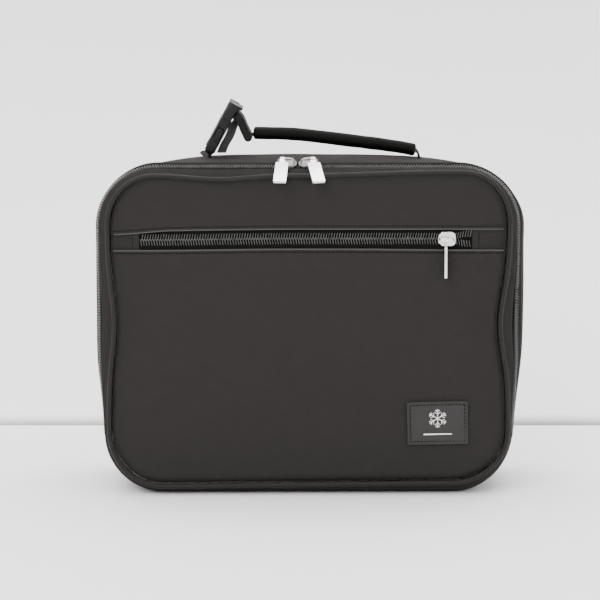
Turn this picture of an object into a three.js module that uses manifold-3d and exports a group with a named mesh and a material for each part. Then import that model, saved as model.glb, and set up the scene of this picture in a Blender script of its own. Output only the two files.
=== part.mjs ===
// An insulated lunch bag: a padded box whose front is a lid on a three-sided zip, with a flat zipped
// pocket on the lid, piped seams, a wipe-clean lining, and a padded strap handle that unclips.
// Millimetres. X runs to the right, Y to the back and Z up. The origin is under the middle of the base.
import * as THREE from "three";
import { mergeVertices } from "three/addons/utils/BufferGeometryUtils.js";
import Module from "manifold-3d";

const wasm = await Module();
wasm.setup();

// ---- Driving dimensions -------------------------------------------------------------------------

const FIT_GAP = 0.3; // clearance between pieces that touch

// The two piped seams, front and back, that frame the bag.
const SEAM_Y = 41.5; // distance of each piped seam from the middle of the bag
const SEAM_HALF_WIDTH = 134;
const SEAM_TOP = 216.8;
const SEAM_BOTTOM = 7.3;
const SEAM_SHOULDER = 32; // radius of the seam's upper corners
const SEAM_FOOT = 37; // radius of its lower corners
const PIPING_RADIUS = 1.7;

// How far the gusset swells beyond the seams at the middle of its depth.
const SIDE_SWELL = 12;
const TOP_SWELL = 9.2;
const SHOULDER_SWELL = 14; // growth of the upper corners' radius
const FOOT_SWELL = 6; // growth of the lower corners' radius
const SWELL_POWER = 2.2;
const FOOT_HALF_DEPTH = 30; // half depth of the flat part of the base
const CROWN_DROP = 4.6; // fall of the top's crest at the crown's half width
const CROWN_HALF_WIDTH = 95;
const CROWN_LIMIT = 108; // half width past which the fall stays the same
const CROWN_POWER = 3;
const CROWN_REACH = 60; // height below the top at which the fall has faded out
const CROWN_FADE = 16; // depth over which the crown grows behind the zip
const WAIST_PINCH = 5; // how far the seams draw in at the waist
const WAIST_SWELL = 0.6;
const WAIST_HEIGHT = 117.6;
const WAIST_SPREAD = 22;
const PINCH_REACH = 0.74; // share of the full swell at which the pinch has faded out
const SKIRT_TAPER = 5.5; // narrowing of the gusset above its lower corners
const SKIRT_TOP = 99.6;
const SKIRT_HEIGHT = 65;

// Layers, from the outside in.
const FABRIC = 1.2;
const FOAM = 4.5;
const LINING = 0.8;
const LAYER_GAP = 0.8; // between curved layers
const FOAM_INSET = FABRIC + LAYER_GAP;
const LINING_INSET = FOAM_INSET + FOAM + LAYER_GAP;

// Zips: half widths are measured from the middle of the chain, heights from the chain's middle plane.
const MAIN_ZIP_Y = -30;
const COIL_INNER = 0.8;
const COIL_OUTER = 3.4;
const TAPE_INNER = 1.2;
const COIL_HALF_HEIGHT = 0.9;
const TAPE_HALF_WIDTH = 10;
const LID_TAPE_WIDTH = 6.5; // the main zip's tapes, from the middle of the chain
const BODY_TAPE_WIDTH = 8;
const TAPE_HEIGHT = -1.5; // middle of the tape, below the chain's middle plane
const TAPE_THICKNESS = 0.6;
const CHAIN_INSET = 0.3; // depth of the chain's middle plane below the gusset's surface
const ZIP_SLOT_HALF = 5; // from the chain's middle to the cloth on each side

// Pocket zip on the lid.
const POCKET_ZIP_Z = 175;
const POCKET_ZIP_LEFT = -113;
const POCKET_ZIP_RIGHT = 109;
const POCKET_SLOT_TOP = 181;
const POCKET_SLOT_BOTTOM = 167.3;
const POCKET_DEPTH = 3.8; // from the lid's outer face to the cloth behind the pocket
const POCKET_BACKING = 0.4; // thickness of that cloth

// Sliders and pulls.
const MAIN_SLIDER_LENGTH = 13.4;
const POCKET_SLIDER_LENGTH = 11.6;
const SLIDER_HALF_WIDTH = 4.8;
const SLIDER_TOP = 2.5;
const SLIDER_CORNER = 2;
const PLATE = 1; // thickness of the slider's upper plate
const UNDER_PLATE = 0.9;
const RAIL_CLEAR = 0.65; // between the chain and the slider's side rails
const BRIDGE_HEIGHT = 5.5;
const BRIDGE_RADIUS = 0.65;
const BRIDGE_LENGTH = 8.4;
const BRIDGE_INDENT = 1.2; // from the slider's tail to the bridge
const LEG_HALF = 0.6;
const MAIN_SLIDER_X = [-14.7, 0];
const MAIN_PULL_YAW = [4.8, -10.2];
const MAIN_PULL_DROOP = 28.5;
const PULL_LENGTH = 25.5;
const PULL_CORNER = 0.6;
const PULL_WIDTH = 8.5;
const POCKET_PULL_WIDTH = 7.8;
const PULL_THICKNESS = 1.6;
const PULL_OFFSET = 2.7; // from the slider's middle towards its tail
const EYE_OUTER = 1.9; // the pull's ring
const EYE_INNER = 1.15;
const EYE_WIDTH = 3;
const NECK_HALF = 2; // the part between the pull's ring and its tab
const NECK_LENGTH = 4;
const PULL_OVERLAP = 1; // how far the neck runs into the tab
const POCKET_SLIDER_X = 92;
const POCKET_PULL_OFFSET = 0.9; // from the slider's middle towards its tail

// Label patch.
const PATCH_WIDTH = 41;
const PATCH_HEIGHT = 29.5;
const PATCH_CORNER = 0.8;
const PATCH_THICKNESS = 1.2;
const PATCH_X = 86.7;
const PATCH_Z = 50.1;
const PATCH_TILT = 1.2;

// Handle.
const HANDLE_Y = 6;
const BUCKLE_X = -69.7;
const BUCKLE_LEAN = 28.2; // from upright, towards the grip
const WEBBING_WIDTH = 20;
const WEBBING = 1.4;
const BUCKLE_WIDTH = 25;
const BUCKLE_THICKNESS = 7.4;
const SOCKET_START = 5.8;
const SOCKET_END = 30;
const PLUG_END = 41.8;
const PRONG_TIP = 13.5;
const PLUG_GAP = 0.4; // how much thinner the plug is than the socket
const BUCKLE_CORNER = 1.6;
const STRAP_TOP = [-47.5, 252]; // ends of the stitched strap below the plug, as X and Z
const STRAP_END = [-40.6, 236.5];
const STRAP_HALF = 2.1; // half the thickness of the strap's layers
const TAIL = { near: 4.4, halfWidth: 9, low: 7, high: 31 }; // the strap's loose tail, in the buckle's frame
const GRIP_RADIUS = 4.2;
const GRIP_BORE = 1.9;
const GRIP_KNOTS = [240.2, [-10, 239.4], [25.6, 235.4], 229]; // its end heights, and points between
const GRIP_CORE = 1.5;
const LOOP_X = 74; // webbing that anchors the grip's right end
const LOOP_START = 1.5;
const LOOP_HEIGHT = 3.2;

const SAMPLES = { side: 12, corner: 6, top: 10, bottom: 6 };

// ---- The bag's outline at a given depth ---------------------------------------------------------

const smooth = (t) => {
  const s = Math.min(1, Math.max(0, t));
  return s * s * (3 - 2 * s);
};

const swell = (y) => 1 - Math.pow(Math.min(1, Math.abs(y) / SEAM_Y), SWELL_POWER);

const waist = (z) => Math.exp(-0.5 * ((z - WAIST_HEIGHT) / WAIST_SPREAD) ** 2);

// The rise of the gusset's lower edge from the flat base to the seam.
function baseLift(y) {
  const past = (Math.min(Math.abs(y), SEAM_Y) - FOOT_HALF_DEPTH) / (SEAM_Y - FOOT_HALF_DEPTH);
  return SEAM_BOTTOM * Math.max(0, past) ** 2;
}

// The outline's corner centres and radii at depth y, moved inwards by inset.
function frameAt(y, inset) {
  const s = swell(y);
  return {
    halfWidth: SEAM_HALF_WIDTH + SIDE_SWELL * s - inset,
    top: SEAM_TOP + TOP_SWELL * s - inset,
    bottom: baseLift(y) + inset,
    shoulder: Math.max(2, SEAM_SHOULDER + SHOULDER_SWELL * s - inset),
    foot: Math.max(2, SEAM_FOOT + FOOT_SWELL * s - inset),
  };
}

// The number of steps along the path that runs from the lower left corner over the top to the lower
// right one, and the number that comes back under the base.
const UPPER_STEPS = 2 * (SAMPLES.side + SAMPLES.corner) + SAMPLES.top;
const LOWER_STEPS = 2 * SAMPLES.corner + SAMPLES.bottom;
const RING_STEPS = UPPER_STEPS + LOWER_STEPS;

// A point on the outline: step counts from the top of the lower left corner, up and over.
function outlinePoint(step, y, inset) {
  const { halfWidth, top, bottom, shoulder, foot } = frameAt(y, inset);
  const [high, low] = [top - shoulder, bottom + foot];
  const [highX, lowX] = [halfWidth - shoulder, halfWidth - foot];
  const arc = (cx, cz, radius, start, t) => {
    const a = THREE.MathUtils.degToRad(start - 90 * t);
    return [cx + radius * Math.cos(a), cz + radius * Math.sin(a)];
  };
  const stretches = [
    [SAMPLES.side, (t) => [-halfWidth, low + (high - low) * t]],
    [SAMPLES.corner, (t) => arc(-highX, high, shoulder, 180, t)],
    [SAMPLES.top, (t) => [-highX + 2 * highX * t, top]],
    [SAMPLES.corner, (t) => arc(highX, high, shoulder, 90, t)],
    [SAMPLES.side, (t) => [halfWidth, high + (low - high) * t]],
    [SAMPLES.corner, (t) => arc(lowX, low, foot, 0, t)],
    [SAMPLES.bottom, (t) => [lowX - 2 * lowX * t, bottom]],
    [SAMPLES.corner, (t) => arc(-lowX, low, foot, -90, t)],
  ];
  let left = step % RING_STEPS;
  let index = 0;
  while (left >= stretches[index][0]) left -= stretches[index++][0];
  const [x, z] = stretches[index][1](left / stretches[index][0]);
  return settle(x, y, z, top);
}

// Draws in the waist and the lower corners, and crowns the top.
function settle(x, y, z, top) {
  const s = swell(y);
  const shift = waist(z) * (WAIST_SWELL * s - WAIST_PINCH * Math.max(0, 1 - s / PINCH_REACH));
  const taper = SKIRT_TAPER * s * smooth((SKIRT_TOP - z) / SKIRT_HEIGHT);
  const spread = Math.abs(x) / SEAM_HALF_WIDTH;
  const side = (shift - taper) * smooth(spread * 2 - 1);
  const crest = smooth((y - MAIN_ZIP_Y - ZIP_SLOT_HALF) / CROWN_FADE);
  const fall = (Math.min(Math.abs(x), CROWN_LIMIT) / CROWN_HALF_WIDTH) ** CROWN_POWER;
  const drop = CROWN_DROP * crest * fall * smooth((z - top) / CROWN_REACH + 1);
  return new THREE.Vector3(x + Math.sign(x) * side, y, z - drop);
}

const topAt = (x, y) => {
  const { top } = frameAt(y, 0);
  return settle(x, y, top, top).z;
};

// ---- Geometry helpers ---------------------------------------------------------------------------

// A closed solid through sections that have equal numbers of points. Caps over the end sections close
// an open run, and a closed run joins its last section to its first.
function loft(sections, closed = false, fill = capFaces) {
  const count = sections[0].length;
  const positions = sections.flat().flatMap((p) => [p.x, p.y, p.z]);
  const index = [];
  const runs = closed ? sections.length : sections.length - 1;
  for (let i = 0; i < runs; i++) {
    const a = i * count;
    const b = ((i + 1) % sections.length) * count;
    for (let j = 0; j < count; j++) {
      const k = (j + 1) % count;
      index.push(a + j, a + k, b + k, a + j, b + k, b + j);
    }
  }
  if (!closed) {
    const last = (sections.length - 1) * count;
    fill(sections[0]).forEach(([i, j, k]) => index.push(k, j, i, last + i, last + j, last + k));
  }
  const geometry = new THREE.BufferGeometry();
  geometry.setAttribute("position", new THREE.Float32BufferAttribute(positions, 3));
  geometry.setIndex(index);
  return facingOut(geometry);
}

// Triangles that fill a flat section, found in the plane that the section lies in.
function capFaces(section) {
  const centre = section.reduce((sum, p) => sum.add(p), new THREE.Vector3());
  centre.divideScalar(section.length);
  const normal = new THREE.Vector3();
  section.forEach((p, i) => {
    const q = section[(i + 1) % section.length];
    normal.add(p.clone().sub(centre).cross(q.clone().sub(centre)));
  });
  const flatten = new THREE.Quaternion().setFromUnitVectors(normal.normalize(), new THREE.Vector3(0, 0, 1));
  const outline = section.map((p) => {
    const q = p.clone().sub(centre).applyQuaternion(flatten);
    return new THREE.Vector2(q.x, q.y);
  });
  return THREE.ShapeUtils.triangulateShape(outline, []);
}

// Triangles that fill the end of a layer, whose inner corners run back along its outer ones.
function layerFaces(section) {
  const last = section.length - 1;
  const faces = [];
  for (let i = 0; i < (last - 1) / 2; i++) {
    faces.push([i, i + 1, last - i - 1], [i, last - i - 1, last - i]);
  }
  return faces;
}

function signedVolume(geometry) {
  const p = geometry.getAttribute("position");
  const corner = (i) => new THREE.Vector3().fromBufferAttribute(p, geometry.index.getX(i));
  let total = 0;
  for (let i = 0; i < geometry.index.count; i += 3) {
    total += corner(i).dot(corner(i + 1).cross(corner(i + 2)));
  }
  return total;
}

function facingOut(geometry) {
  if (signedVolume(geometry) < 0) geometry.setIndex([...geometry.index.array].reverse());
  return geometry;
}

// The corners of a band's section at a step. The profile gives them as [y, inset] pairs, and it may
// depend on the step.
function sectionAt(step, profile) {
  const corners = typeof profile === "function" ? profile(step) : profile;
  return corners.map(([y, inset]) => outlinePoint(step, y, inset));
}

// A band that follows the outline from one step to another.
function band(from, to, profile) {
  const whole = [];
  for (let step = Math.ceil(from + 0.2); step <= to - 0.2; step++) whole.push(step);
  return loft([from, ...whole, to].map((step) => sectionAt(step, profile)), false, layerFaces);
}

function closedBand(profile) {
  const steps = Array.from({ length: RING_STEPS }, (_, step) => step);
  return loft(steps.map((step) => sectionAt(step, profile)), true);
}

// A layer of the gusset between two depths: its outer face follows the swell at the given depths.
function layerProfile(depths, inset, thickness) {
  const outer = depths.map((y) => [y, inset]);
  const inner = [...depths].reverse().map((y) => [y, inset + thickness]);
  return [...outer, ...inner];
}

// A round cord that follows a piped seam.
function piping(seamY, corners = 6) {
  const angles = Array.from({ length: corners }, (_, i) => (2 * Math.PI * i) / corners);
  const sections = Array.from({ length: RING_STEPS }, (_, step) =>
    angles.map((a) => {
      const p = outlinePoint(step, seamY, PIPING_RADIUS * Math.sin(a));
      return p.setY(seamY + PIPING_RADIUS * Math.cos(a));
    }),
  );
  return loft(sections, true);
}

// A flat slab that fills the seam's outline, moved inwards by inset, where every limit is positive.
function panel(yFront, yBack, inset, limits = []) {
  const seam = Math.sign(yFront) * SEAM_Y;
  const outline = [];
  for (let step = 0; step < RING_STEPS; step++) {
    const p = outlinePoint(step, seam, inset);
    outline.push(new THREE.Vector2(p.x, p.z));
  }
  const shape = new THREE.Shape(limits.reduce(clip, outline));
  const slab = new THREE.ExtrudeGeometry(shape, { depth: yBack - yFront, bevelEnabled: false });
  return slab.rotateX(Math.PI / 2).translate(0, yBack, 0);
}

// Keeps the part of an outline where the limit is positive.
function clip(outline, limit) {
  const kept = [];
  outline.forEach((p, i) => {
    const q = outline[(i + 1) % outline.length];
    const [a, b] = [limit(p.x, p.y), limit(q.x, q.y)];
    if (a >= 0) kept.push(p);
    if (a * b < 0) kept.push(p.clone().lerp(q, a / (a - b)));
  });
  return kept;
}

function box([x0, x1], [y0, y1], [z0, z1]) {
  const geometry = new THREE.BoxGeometry(x1 - x0, y1 - y0, z1 - z0);
  return geometry.translate((x0 + x1) / 2, (y0 + y1) / 2, (z0 + z1) / 2);
}

// A rectangle in X and Y with rounded corners, extruded from z0 to z1.
function roundedPlate(length, width, radius, z0, z1, holes = []) {
  const [a, b] = [length / 2, width / 2];
  const shape = new THREE.Shape();
  shape.moveTo(-a + radius, -b);
  shape.lineTo(a - radius, -b);
  shape.absarc(a - radius, -b + radius, radius, -Math.PI / 2, 0);
  shape.absarc(a - radius, b - radius, radius, 0, Math.PI / 2);
  shape.absarc(-a + radius, b - radius, radius, Math.PI / 2, Math.PI);
  shape.absarc(-a + radius, -b + radius, radius, Math.PI, 1.5 * Math.PI);
  shape.holes.push(...holes);
  const settings = { depth: z1 - z0, bevelEnabled: false, curveSegments: 5 };
  return new THREE.ExtrudeGeometry(shape, settings).translate(0, 0, z0);
}

function solid(geometry) {
  const bare = geometry.clone();
  bare.deleteAttribute("normal");
  bare.deleteAttribute("uv");
  const merged = mergeVertices(bare, 1e-4);
  return new wasm.Manifold(
    new wasm.Mesh({
      numProp: 3,
      vertProperties: merged.attributes.position.array,
      triVerts: new Uint32Array(merged.index.array),
    }),
  );
}

function fromSolid(made) {
  const mesh = made.getMesh();
  const geometry = new THREE.BufferGeometry();
  geometry.setAttribute("position", new THREE.BufferAttribute(mesh.vertProperties, 3));
  geometry.setIndex(new THREE.BufferAttribute(mesh.triVerts, 1));
  return geometry;
}

const joined = (...parts) => fromSolid(parts.map(solid).reduce((a, b) => a.add(b)));
const cut = (base, ...tools) => fromSolid(tools.map(solid).reduce((a, b) => a.subtract(b), solid(base)));

// ---- Materials ----------------------------------------------------------------------------------

const material = (color, roughness, metalness = 0) =>
  new THREE.MeshStandardMaterial({ color, roughness, metalness });

const TWILL = material(0x34322f, 0.85);
const PIPING = material(0x302f2c, 0.7);
const COIL = material(0x2a2a2a, 0.4);
const TAPE = material(0x262624, 0.9);
const STEEL = material(0xd9d9d6, 0.22, 1);
const PLASTIC = material(0x222222, 0.45);
const WEB = material(0x2b2a28, 0.9);
const GRIP = material(0x232622, 0.6);
const LINER = material(0xb9bcc0, 0.35, 0.3);
const FOAM_WHITE = material(0xe6e4de, 0.95);
const PATCH = material(0x3b3a38, 0.55);

const bag = new THREE.Group();

function add(name, geometry, finish, parent = bag) {
  const mesh = new THREE.Mesh(geometry, finish);
  mesh.name = name;
  parent.add(mesh);
  return mesh;
}

// ---- Body: gussets, back, foam, lining and piping -----------------------------------------------

const GUSSET_FRONT = MAIN_ZIP_Y + ZIP_SLOT_HALF;
const BODY_TAPE_END = MAIN_ZIP_Y + BODY_TAPE_WIDTH;
const GUSSET_BACK = SEAM_Y - PIPING_RADIUS - FIT_GAP;
const PANEL_OUTER = SEAM_Y + 1.8; // outer face of the front and back panels
const POCKET_CHAIN_Y = PANEL_OUTER - 0.3; // middle of the pocket zip's chain
const PANEL_INSET = PIPING_RADIUS + FIT_GAP;
const PAD_INSET = PANEL_INSET + FOAM_INSET; // edge of the flat foam pads
const FOAM_FRONT = -18;
const FOAM_BACK = 35.7;
const HINGE_CLEAR = -33; // front edge of the base's inner layers, behind the closed lid
const SEWN_GAP = 0.15; // in steps: two gussets' ends at a sewn corner
const FOAM_GAP = 0.25; // in steps: the foams' ends
// Stations that the swell of every layer passes through.
const REAR_DEPTHS = [12, 24, 31.5];
const SIDE_DEPTHS = [FOAM_FRONT, -13, 0, ...REAR_DEPTHS, FOAM_BACK];
const BASE_DEPTHS = [HINGE_CLEAR, GUSSET_FRONT, BODY_TAPE_END, ...SIDE_DEPTHS];
const STRIP_DEPTHS = [-GUSSET_BACK, -37.2, MAIN_ZIP_Y - ZIP_SLOT_HALF];
const BINDING = [36.9, 39]; // depth of the tape that binds a seam's raw edges
const LID_BINDING_INSET = 2.9; // it passes inside the gusset's edge as the lid swings open

function buildBody() {
  const sideDepths = [GUSSET_FRONT, BODY_TAPE_END, ...SIDE_DEPTHS, GUSSET_BACK];
  add("body_gusset", band(0, UPPER_STEPS, layerProfile(sideDepths, 0, FABRIC)), TWILL);
  const baseDepths = [...STRIP_DEPTHS, ...BASE_DEPTHS, GUSSET_BACK];
  const baseSteps = [UPPER_STEPS + SEWN_GAP, RING_STEPS - SEWN_GAP];
  add("bottom_gusset", band(...baseSteps, layerProfile(baseDepths, 0, FABRIC)), TWILL);
  add("back_panel", panel(PANEL_OUTER - FABRIC, PANEL_OUTER, PANEL_INSET), TWILL);
  add("back_piping", piping(SEAM_Y), PIPING);
  add("body_seam_binding", closedBand(layerProfile(BINDING, FOAM_INSET, FABRIC)), TAPE);

  const sideFoam = layerProfile(SIDE_DEPTHS, FOAM_INSET, FOAM);
  add("gusset_foam", band(FOAM_GAP, UPPER_STEPS - FOAM_GAP, sideFoam), FOAM_WHITE);
  const baseFoam = layerProfile(BASE_DEPTHS, FOAM_INSET, FOAM);
  add("bottom_foam", band(UPPER_STEPS + FOAM_GAP, RING_STEPS - FOAM_GAP, baseFoam), FOAM_WHITE);
  add("back_foam", panel(FOAM_BACK + FIT_GAP, FOAM_BACK + FIT_GAP + FOAM, PAD_INSET), FOAM_WHITE);
  add("body_lining_walls", closedBand(liningProfile), LINER);
  add("body_lining_back", panel(FOAM_BACK - LINING, FOAM_BACK, LINING_INSET), LINER);
}

// The lining's front edge lies just behind the zip above, and comes forward to the hinge below.
function liningProfile(step) {
  const below = Math.max(0, step - UPPER_STEPS) / LOWER_STEPS;
  const reach = smooth(Math.min(below, 1 - below) * 6);
  const front = THREE.MathUtils.lerp(FOAM_FRONT, HINGE_CLEAR + 1, reach);
  const forward = [1, 0.75, 0.36, 0].map((share) => share * front);
  return layerProfile([...forward, ...REAR_DEPTHS, FOAM_BACK - LINING - FIT_GAP], LINING_INSET, LINING);
}

// ---- Lid: front panel with its flat pocket, gusset strip, piping, foam and lining ---------------

const above = (level) => (x, z) => z - level;
const below = (level) => (x, z) => level - z;
const leftOf = (edge) => (x) => edge - x;
const rightOf = (edge) => (x) => x - edge;

function buildLid() {
  const skin = [-PANEL_OUTER, -PANEL_OUTER + FABRIC, PANEL_INSET];
  const tabLimits = [above(POCKET_SLOT_BOTTOM + FIT_GAP), below(POCKET_SLOT_TOP - FIT_GAP)];
  add("front_panel_top", panel(...skin, [above(POCKET_SLOT_TOP)]), TWILL);
  add("front_pocket_panel", panel(...skin, [below(POCKET_SLOT_BOTTOM)]), TWILL);
  add("pocket_tab_left", panel(...skin, [...tabLimits, leftOf(POCKET_ZIP_LEFT)]), TWILL);
  add("pocket_tab_right", panel(...skin, [...tabLimits, rightOf(POCKET_ZIP_RIGHT)]), TWILL);
  const tapeTop = POCKET_ZIP_Z + TAPE_HALF_WIDTH;
  const pocketBack = -PANEL_OUTER + POCKET_DEPTH;
  const backing = panel(pocketBack, pocketBack + POCKET_BACKING, PANEL_INSET, [below(tapeTop)]);
  add("pocket_lining", backing, TAPE);
  const padFront = pocketBack + POCKET_BACKING + FIT_GAP;
  const padBack = padFront + FOAM;
  add("lid_foam", panel(padFront, padBack, PAD_INSET), FOAM_WHITE);
  add("lid_lining", panel(padBack + FIT_GAP, padBack + FIT_GAP + LINING, PAD_INSET), LINER);

  add("front_piping", piping(-SEAM_Y), PIPING);
  add("lid_gusset_strip", band(0, UPPER_STEPS, layerProfile(STRIP_DEPTHS, 0, FABRIC)), TWILL);
  const binding = BINDING.map((y) => -y);
  add("lid_seam_binding", closedBand(layerProfile(binding, LID_BINDING_INSET, FABRIC)), TAPE);
  buildPatch();
}

function buildPatch() {
  const patch = roundedPlate(PATCH_WIDTH, PATCH_HEIGHT, PATCH_CORNER, 0, PATCH_THICKNESS).rotateX(Math.PI / 2);
  const label = add("label_patch", patch, PATCH);
  label.position.set(PATCH_X, -PANEL_OUTER - FIT_GAP, PATCH_Z);
  label.rotation.y = -THREE.MathUtils.degToRad(PATCH_TILT);
}

// ---- Zips ---------------------------------------------------------------------------------------

// Each half of the main zip: side -1 is sewn to the lid, side 1 to the body.
function buildMainZip(owner, side) {
  const across = (...distances) => distances.map((d) => MAIN_ZIP_Y + side * d);
  const tapeInset = CHAIN_INSET - TAPE_HEIGHT - TAPE_THICKNESS / 2;
  const reach = side < 0 ? LID_TAPE_WIDTH : BODY_TAPE_WIDTH;
  const tape = layerProfile(across(TAPE_INNER, ZIP_SLOT_HALF, reach), tapeInset, TAPE_THICKNESS);
  const coil = layerProfile(
    across(COIL_INNER, COIL_OUTER),
    CHAIN_INSET - COIL_HALF_HEIGHT,
    2 * COIL_HALF_HEIGHT,
  );
  add(`${owner}_zip_tape`, band(0, UPPER_STEPS, tape), TAPE);
  add(`${owner}_zip_coil`, band(0, UPPER_STEPS, coil), COIL);
}

function buildPocketZip() {
  const chainY = -POCKET_CHAIN_Y;
  const ends = [POCKET_ZIP_LEFT + 2, POCKET_ZIP_RIGHT - 2];
  const tapeEnds = [POCKET_ZIP_LEFT - 5, POCKET_ZIP_RIGHT + 5];
  const tapeY = chainY - TAPE_HEIGHT;
  const tapeDepth = [tapeY - TAPE_THICKNESS / 2, tapeY + TAPE_THICKNESS / 2];
  const coilDepth = [chainY - COIL_HALF_HEIGHT, chainY + COIL_HALF_HEIGHT];
  for (const [half, side] of [["upper", 1], ["lower", -1]]) {
    const span = (near, far) => [near, far].map((d) => POCKET_ZIP_Z + side * d).sort((a, b) => a - b);
    add(`pocket_tape_${half}`, box(tapeEnds, tapeDepth, span(TAPE_INNER, TAPE_HALF_WIDTH)), TAPE);
    add(`pocket_coil_${half}`, box(ends, coilDepth, span(COIL_INNER, COIL_OUTER)), COIL);
  }
}

// ---- Sliders and pulls --------------------------------------------------------------------------

// A slider in its own frame: X towards its nose, Z away from the chain's middle plane.
function sliderBody(length) {
  const plate = (z0, z1) => roundedPlate(length, 2 * SLIDER_HALF_WIDTH, SLIDER_CORNER, z0, z1);
  const upper = [SLIDER_TOP - PLATE, SLIDER_TOP];
  const under = 2 * TAPE_HEIGHT - FIT_GAP;
  const rails = [SLIDER_CORNER - length / 2, length / 2 - SLIDER_CORNER];
  const railInner = COIL_OUTER + RAIL_CLEAR;
  const railHeight = [-COIL_HALF_HEIGHT, SLIDER_TOP - PLATE / 2];
  const legHeight = [SLIDER_TOP - PLATE / 2, BRIDGE_HEIGHT + BRIDGE_RADIUS];
  const bridgeStart = BRIDGE_INDENT - length / 2;
  const leg = (x) => box([x - LEG_HALF, x + LEG_HALF], [-BRIDGE_RADIUS, BRIDGE_RADIUS], legHeight);
  const bar = new THREE.CylinderGeometry(BRIDGE_RADIUS, BRIDGE_RADIUS, BRIDGE_LENGTH, 10);
  bar.rotateZ(Math.PI / 2).translate(bridgeStart + BRIDGE_LENGTH / 2, 0, BRIDGE_HEIGHT);
  const post = [1, length / 2 - BRIDGE_INDENT]; // joins the plates between the parted rows of loops
  return joined(
    plate(...upper),
    plate(under, under + UNDER_PLATE),
    box(post, [-0.4, 0.4], [under + UNDER_PLATE / 2, SLIDER_TOP - PLATE / 2]),
    box(rails, [railInner, SLIDER_HALF_WIDTH], railHeight),
    box(rails, [-SLIDER_HALF_WIDTH, -railInner], railHeight),
    leg(bridgeStart),
    leg(bridgeStart + BRIDGE_LENGTH),
    bar,
  );
}

// A ring round the X axis, with its middle at the origin.
function eye(width, outer, inner) {
  const shape = new THREE.Shape().absarc(0, 0, outer, 0, 2 * Math.PI);
  shape.holes.push(new THREE.Path().absarc(0, 0, inner, 0, 2 * Math.PI, true));
  const ring = new THREE.ExtrudeGeometry(shape, { depth: width, bevelEnabled: false, curveSegments: 8 });
  return ring.translate(0, 0, -width / 2).rotateY(Math.PI / 2);
}

// A pull whose flat tab hangs along -Y from an eye round the X axis.
function flatPull() {
  const length = PULL_LENGTH - NECK_LENGTH;
  const depth = [-PULL_THICKNESS / 2, PULL_THICKNESS / 2];
  const tab = roundedPlate(PULL_WIDTH, length, PULL_CORNER, ...depth);
  tab.translate(0, -NECK_LENGTH - length / 2, 0);
  const neck = box([-NECK_HALF, NECK_HALF], [-NECK_LENGTH - PULL_OVERLAP, 0.4 - EYE_OUTER], depth);
  return joined(eye(EYE_WIDTH, EYE_OUTER, EYE_INNER), neck, tab);
}

// A pull that hangs edge-on along -Z from an eye round the X axis. Its tab starts below the slider.
function edgePull() {
  const start = SLIDER_HALF_WIDTH + 2 * FIT_GAP;
  const length = PULL_LENGTH - start;
  const half = PULL_THICKNESS / 2;
  const tab = roundedPlate(length, POCKET_PULL_WIDTH, PULL_CORNER, -half, half);
  tab.rotateZ(Math.PI / 2).rotateX(Math.PI / 2).rotateZ(Math.PI / 2).translate(0, 0, -start - length / 2);
  const neck = box([-half, half], [-1.5, 1.5], [-start - PULL_OVERLAP / 2, 0.5 - EYE_OUTER]);
  return joined(eye(PULL_THICKNESS, EYE_OUTER, EYE_INNER), neck, tab);
}

function buildMainSliders() {
  const step = 0.5;
  const rise = frameAt(MAIN_ZIP_Y + step, 0).top - frameAt(MAIN_ZIP_Y - step, 0).top;
  const tilt = Math.atan2(rise, 2 * step);
  const chainZ = frameAt(MAIN_ZIP_Y, 0).top - CHAIN_INSET * Math.cos(tilt);
  ["left", "right"].forEach((name, i) => {
    const nose = i === 0 ? 1 : -1;
    const slider = add(`main_slider_${name}`, sliderBody(MAIN_SLIDER_LENGTH), STEEL);
    slider.position.set(MAIN_SLIDER_X[i], MAIN_ZIP_Y, chainZ);
    slider.rotation.set(tilt, 0, 0);
    if (nose < 0) slider.rotateZ(Math.PI);
    const pull = add(`main_pull_${name}`, flatPull(), STEEL);
    pull.position.set(
      MAIN_SLIDER_X[i] - nose * PULL_OFFSET,
      MAIN_ZIP_Y - BRIDGE_HEIGHT * Math.sin(tilt),
      chainZ + BRIDGE_HEIGHT * Math.cos(tilt),
    );
    pull.rotation.order = "ZXY";
    pull.rotation.z = -THREE.MathUtils.degToRad(MAIN_PULL_YAW[i]);
    pull.rotation.x = THREE.MathUtils.degToRad(MAIN_PULL_DROOP);
  });
}

function buildPocketSlider() {
  const slider = add("pocket_slider", sliderBody(POCKET_SLIDER_LENGTH), STEEL);
  slider.position.set(POCKET_SLIDER_X, -POCKET_CHAIN_Y, POCKET_ZIP_Z);
  slider.rotation.x = Math.PI / 2;
  const pull = add("pocket_pull", edgePull(), STEEL);
  const x = POCKET_SLIDER_X - POCKET_PULL_OFFSET;
  pull.position.set(x, -POCKET_CHAIN_Y - BRIDGE_HEIGHT, POCKET_ZIP_Z);
}

// ---- Handle: anchor webbing, side-release buckle, strap, tail and padded grip --------------------

// The buckle's own frame: Z along its axis towards the plug, Y across the webbing.
const buckle = new THREE.Group();
buckle.position.set(BUCKLE_X, HANDLE_Y, topAt(BUCKLE_X, HANDLE_Y));
buckle.rotation.y = THREE.MathUtils.degToRad(BUCKLE_LEAN);
bag.add(buckle);

const SLOT_HALF = WEBBING_WIDTH / 2 + 0.5;
const CAVITY = { halfThickness: 2.3, halfWidth: 11.3, floor: 12.5 };
const BAR_MIDDLE = SOCKET_START + 0.8;
const PLUG_SLOT_LOW = [PLUG_END - 10.3, PLUG_END - 7.5];
const PLUG_SLOT_HIGH = [PLUG_END - 5, PLUG_END - 2.2];

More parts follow.
